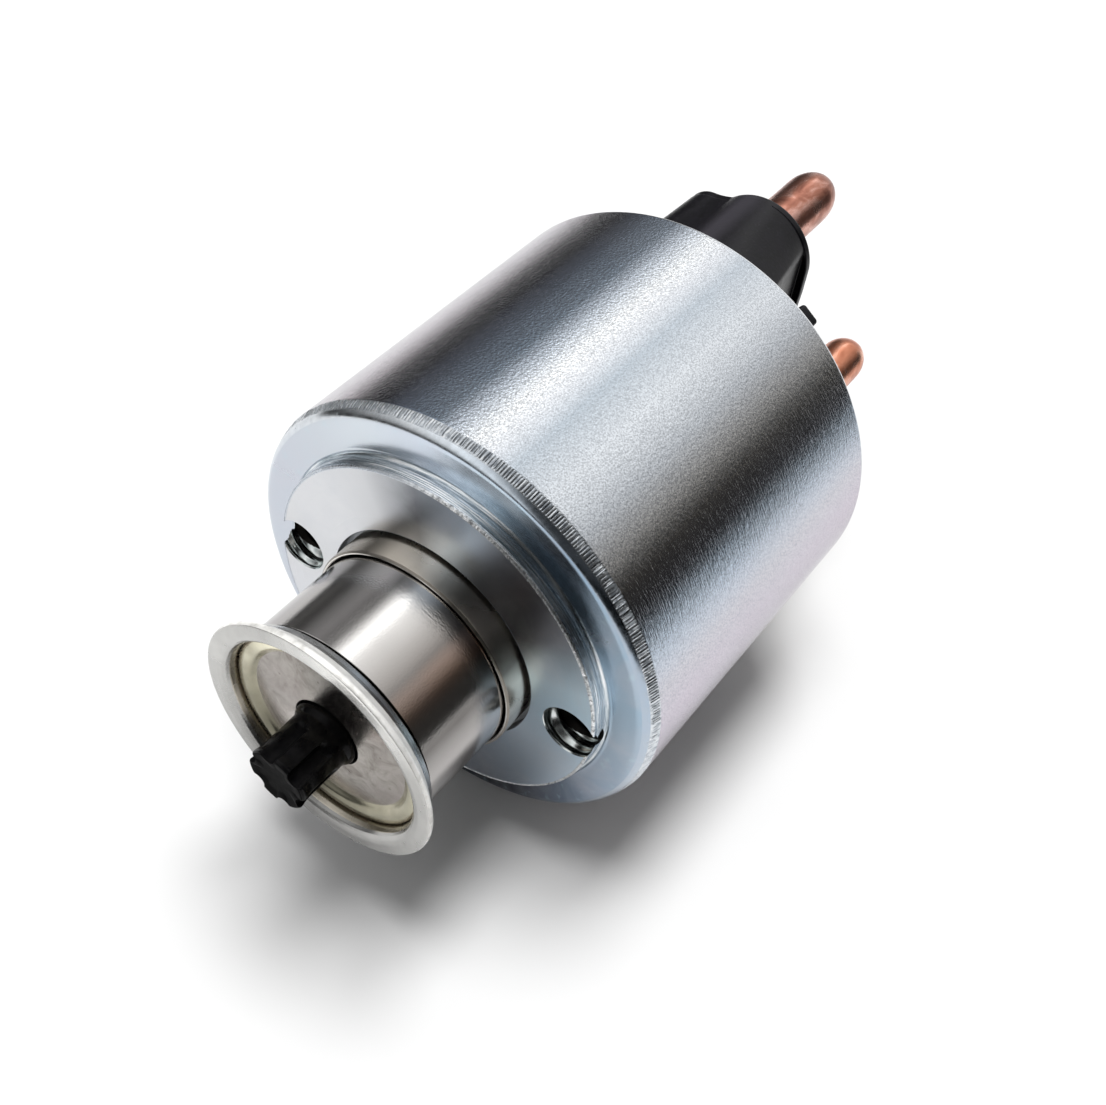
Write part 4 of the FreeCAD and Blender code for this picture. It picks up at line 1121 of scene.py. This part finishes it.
for y, z, r, x1 in ((-1.0, 16.7, 4.03, -62.0), (13.9, 3.8, 3.43, -56.0)):
    hole = turned("hole", [(-48.0, 0), (-48.0, r), (x1, r), (x1, 0)], 96, [M["cap"]], centre=(y, z))
    boolean(cap, hole, "DIFFERENCE", sharp=28)
slit = rounded_box("slit", -60.0, -48.6, -15.42, -14.58, -8.67, -2.33, 0.02, 0.0, 1)
boolean(cap, slit, "DIFFERENCE", sharp=28)
place(cap, "housing", "cap_plastic", "terminal_cap")


# ------------------------------------------------------------------ push-on rings and blade
def star_ring(name, cy, cz, r_in, r_out, x0, x1, mat):
    """Domed spring-steel ring with six slit tongues gripping the stud."""
    n = 288
    th = np.arange(n) * 2 * math.pi / n
    slot = np.zeros(n)
    for k in range(6):
        c = math.radians(30 + 60 * k)
        d = (th - c + math.pi) % (2 * math.pi) - math.pi
        slot = np.maximum(slot, np.clip((0.085 - np.abs(d)) / 0.02, 0, 1))
    mid = r_in + (r_out - r_in) * 0.55
    t = abs(x1 - x0)

    def ring(x, r, use):
        rr = np.full(n, r)
        if use:
            rr = np.maximum(rr, slot * mid)
        return np.stack([np.full(n, x), cy + rr * np.cos(th), cz + rr * np.sin(th)], 1)

    f = 0.12
    lo = 0.45 * t
    rings = [ring(x0, r_in + 0.02, True), ring(x0, mid, True), ring(x0, r_out - f, False), ring(x0 - f * 0.3, r_out - f * 0.3, False),
             ring(x0 - f, r_out, False), ring(x0 - lo, r_out, False), ring(x0 - lo - 0.1, r_out - 0.1, False), ring(x0 - lo - 0.12, mid + 0.25, False),
             ring(x0 - lo - 0.16, mid, True), ring(x1, r_in + 0.25, True), ring(x1 + 0.02, r_in + 0.02, True)]
    ob = make_object(name, np.concatenate(rings), grid_loop(rings), [mat], sharp=30)
    outward(ob)
    return ob


place(star_ring("battery_star_ring", -1.0, 16.7, 4.0, 6.4, -62.5, -63.3, M["star"]), "housing", "spring_steel", "battery_stud_ring")
place(star_ring("motor_star_ring", 13.9, 3.8, 3.4, 5.6, -54.0, -54.8, M["star"]), "housing", "spring_steel", "motor_stud_ring")


def blade():
    """6.3 mm push-on blade with chamfered tip, a round hole and softened edges."""
    z0, z1, zc = -8.65, -2.35, -5.5
    out = [(-48.5, z0), (-61.7, z0), (-62.75, z0 + 0.95), (-63.0, z0 + 1.4), (-63.0, z1 - 1.4), (-62.75, z1 - 0.95), (-61.7, z1), (-48.5, z1)]
    bm = bmesh.new()
    lo = [bm.verts.new((x, -15.4, z)) for x, z in out]
    face = bm.faces.new(lo)
    ext = bmesh.ops.extrude_face_region(bm, geom=[face])
    bmesh.ops.translate(bm, vec=(0, 0.8, 0), verts=[g for g in ext["geom"] if isinstance(g, bmesh.types.BMVert)])
    bmesh.ops.recalc_face_normals(bm, faces=bm.faces)
    bmesh.ops.bevel(bm, geom=[e for e in bm.edges if e.calc_face_angle(0) > 0.6], offset=0.1, segments=3, affect="EDGES", profile=0.5)
    me = bpy.data.meshes.new("trigger_tab")
    bmesh.ops.scale(bm, vec=(MM, MM, MM), verts=bm.verts)
    bm.to_mesh(me)
    bm.free()
    me.materials.append(M["tin"])
    ob = bpy.data.objects.new("trigger_tab", me)
    bpy.context.scene.collection.objects.link(ob)
    n = 48
    vv = []
    for y, r in ((-16.4, 1.15), (-15.36, 0.98), (-15.25, 0.9), (-14.75, 0.9), (-14.64, 0.98), (-13.6, 1.15)):
        vv += [(-59.2 + r * math.cos(2 * math.pi * j / n), y, zc + r * math.sin(2 * math.pi * j / n)) for j in range(n)]
    ff = [(i * n + j, i * n + (j + 1) % n, (i + 1) * n + (j + 1) % n, (i + 1) * n + j) for i in range(5) for j in range(n)]
    ff += [tuple(range(n)), tuple(range(5 * n, 6 * n))[::-1]]
    hole = make_object("hole", vv, ff, [M["tin"]])
    outward(hole)
    boolean(ob, hole, "DIFFERENCE", sharp=30)
    tail = make_object("tail", [(x, y, z) for x in (-49.2, -48.4) for y in (-15.4, -9.6) for z in (z0, z1)],
                       [(0, 1, 3, 2), (4, 6, 7, 5), (0, 4, 5, 1), (2, 3, 7, 6), (0, 2, 6, 4), (1, 5, 7, 3)], [M["tin"]])
    outward(tail)
    boolean(ob, tail, "UNION", sharp=30)
    return ob


place(blade(), "housing", "tin_blade", "trigger_blade")

# ------------------------------------------------------------------ floor, light, camera
floor_mat = Mat("pale_floor", rough=0.75)
floor_mat.set("color", floor_mat.mix(floor_mat.span(floor_mat.noise(floor_mat.scaled(40, 40, 40), detail=2.0), 0.3, 0.7, 0.0, 1.0),
                                     (0.595, 0.595, 0.595), (0.605, 0.605, 0.605)))
bm = bmesh.new()
bmesh.ops.create_circle(bm, cap_ends=True, segments=96, radius=0.275)
fm = bpy.data.meshes.new("floor")
bmesh.ops.translate(bm, vec=(-0.025, 0, -0.02801), verts=bm.verts)
bm.to_mesh(fm)
bm.free()
fm.materials.append(floor_mat.m)
floor = bpy.data.objects.new("floor", fm)
bpy.context.scene.collection.objects.link(floor)

world = bpy.data.worlds.new("studio")
bpy.context.scene.world = world
world.use_nodes = True
wt = world.node_tree
for n in list(wt.nodes):
    wt.nodes.remove(n)


def wnode(kind, **props):
    n = wt.nodes.new(kind)
    for k, v in props.items():
        setattr(n, k, v)
    return n


co = wnode("ShaderNodeTexCoord")
sep = wnode("ShaderNodeSeparateXYZ")
wt.links.new(co.outputs["Generated"], sep.inputs[0])
at = wnode("ShaderNodeMath", operation="ARCTAN2")
wt.links.new(sep.outputs["Z"], at.inputs[0])
wt.links.new(sep.outputs["Y"], at.inputs[1])


def sky(stops, low, high):
    """Brightness by the angle round the X axis, 0 at +Y and 90 overhead, for directions from stops."""
    mr = wnode("ShaderNodeMapRange")
    mr.inputs["From Min"].default_value = math.radians(low)
    mr.inputs["From Max"].default_value = math.radians(high)
    wt.links.new(at.outputs[0], mr.inputs["Value"])
    ramp = wnode("ShaderNodeValToRGB")
    e = ramp.color_ramp.elements
    while len(e) < len(stops):
        e.new(0.5)
    for k, (a, v) in enumerate(stops):
        e[k].position = (a - low) / (high - low)
        e[k].color = (v / 2.5, v / 2.5, v / 2.5, 1.0)
    wt.links.new(mr.outputs[0], ramp.inputs["Fac"])
    return ramp.outputs["Color"]


SKY_BACK = [(0, 0.05), (12, 0.04), (24, 0.05), (36, 0.34), (48, 0.57), (60, 0.91), (72, 1.10), (84, 1.10), (96, 1.08), (106, 1.86),
            (113, 2.06), (121, 1.15), (132, 0.26), (144, 0.29), (156, 0.155), (168, 0.045), (180, 0.14)]
SKY_FRONT = [(0, 0.0), (20, 0.0), (40, 0.08), (60, 0.045), (80, 0.03), (100, 0.76), (120, 1.12), (140, 0.83), (160, 0.43), (180, 0.02)]
side = wnode("ShaderNodeMapRange")
side.inputs["From Min"].default_value = -0.35
side.inputs["From Max"].default_value = -0.15
wt.links.new(sep.outputs["X"], side.inputs["Value"])
both = wnode("ShaderNodeMix", data_type="RGBA")
wt.links.new(side.outputs[0], both.inputs["Factor"])
wt.links.new(sky(SKY_BACK, -12, 192), both.inputs[6])
wt.links.new(sky(SKY_FRONT, -12, 192), both.inputs[7])
behind = wnode("ShaderNodeMapRange")
behind.inputs["From Min"].default_value = -0.86
behind.inputs["From Max"].default_value = -0.96
wt.links.new(sep.outputs["X"], behind.inputs["Value"])
wall = wnode("ShaderNodeMix", data_type="RGBA")
wt.links.new(behind.outputs[0], wall.inputs["Factor"])
wt.links.new(both.outputs[2], wall.inputs[6])
wall.inputs[7].default_value = (0.36, 0.36, 0.36, 1.0)
studio = wnode("ShaderNodeBackground")
studio.inputs["Strength"].default_value = 2.5
wt.links.new(wall.outputs[2], studio.inputs["Color"])
plain = wnode("ShaderNodeBackground")
plain.inputs["Color"].default_value = (1.0, 1.0, 1.0, 1.0)
path = wnode("ShaderNodeLightPath")
mix = wnode("ShaderNodeMixShader")
wt.links.new(path.outputs["Is Camera Ray"], mix.inputs[0])
wt.links.new(studio.outputs[0], mix.inputs[1])
wt.links.new(plain.outputs[0], mix.inputs[2])
out = wnode("ShaderNodeOutputWorld")
wt.links.new(mix.outputs[0], out.inputs["Surface"])

for tilt in (3, -15):
    sun = bpy.data.lights.new("key", "SUN")
    sun.energy = 2.05
    sun.angle = math.radians(20)
    sun_ob = bpy.data.objects.new("key", sun)
    sun_ob.rotation_euler = (math.radians(6), math.radians(tilt), 0)
    sun_ob.visible_glossy = False
    bpy.context.scene.collection.objects.link(sun_ob)

cam = bpy.data.cameras.new("camera")
cam.sensor_fit = "HORIZONTAL"
cam.sensor_width = 36.0
cam.lens = 43.90
cam.shift_x = 0.0785
cam.shift_y = 0.0305
cam.clip_start = 0.005
cam.clip_end = 50
cam_ob = bpy.data.objects.new("camera", cam)
right, up, back = (-0.61963, 0.78048, 0.08314), (-0.58402, -0.52923, 0.61550), (0.52438, 0.33284, 0.78374)
cam_ob.matrix_world = Matrix(((right[0], up[0], back[0], 0.07615), (right[1], up[1], back[1], 0.05095),
                              (right[2], up[2], back[2], 0.12283), (0, 0, 0, 1)))
bpy.context.scene.collection.objects.link(cam_ob)
bpy.context.scene.camera = cam_ob
bpy.context.scene.view_settings.view_transform = "Standard"
bpy.context.scene.view_settings.look = "None"
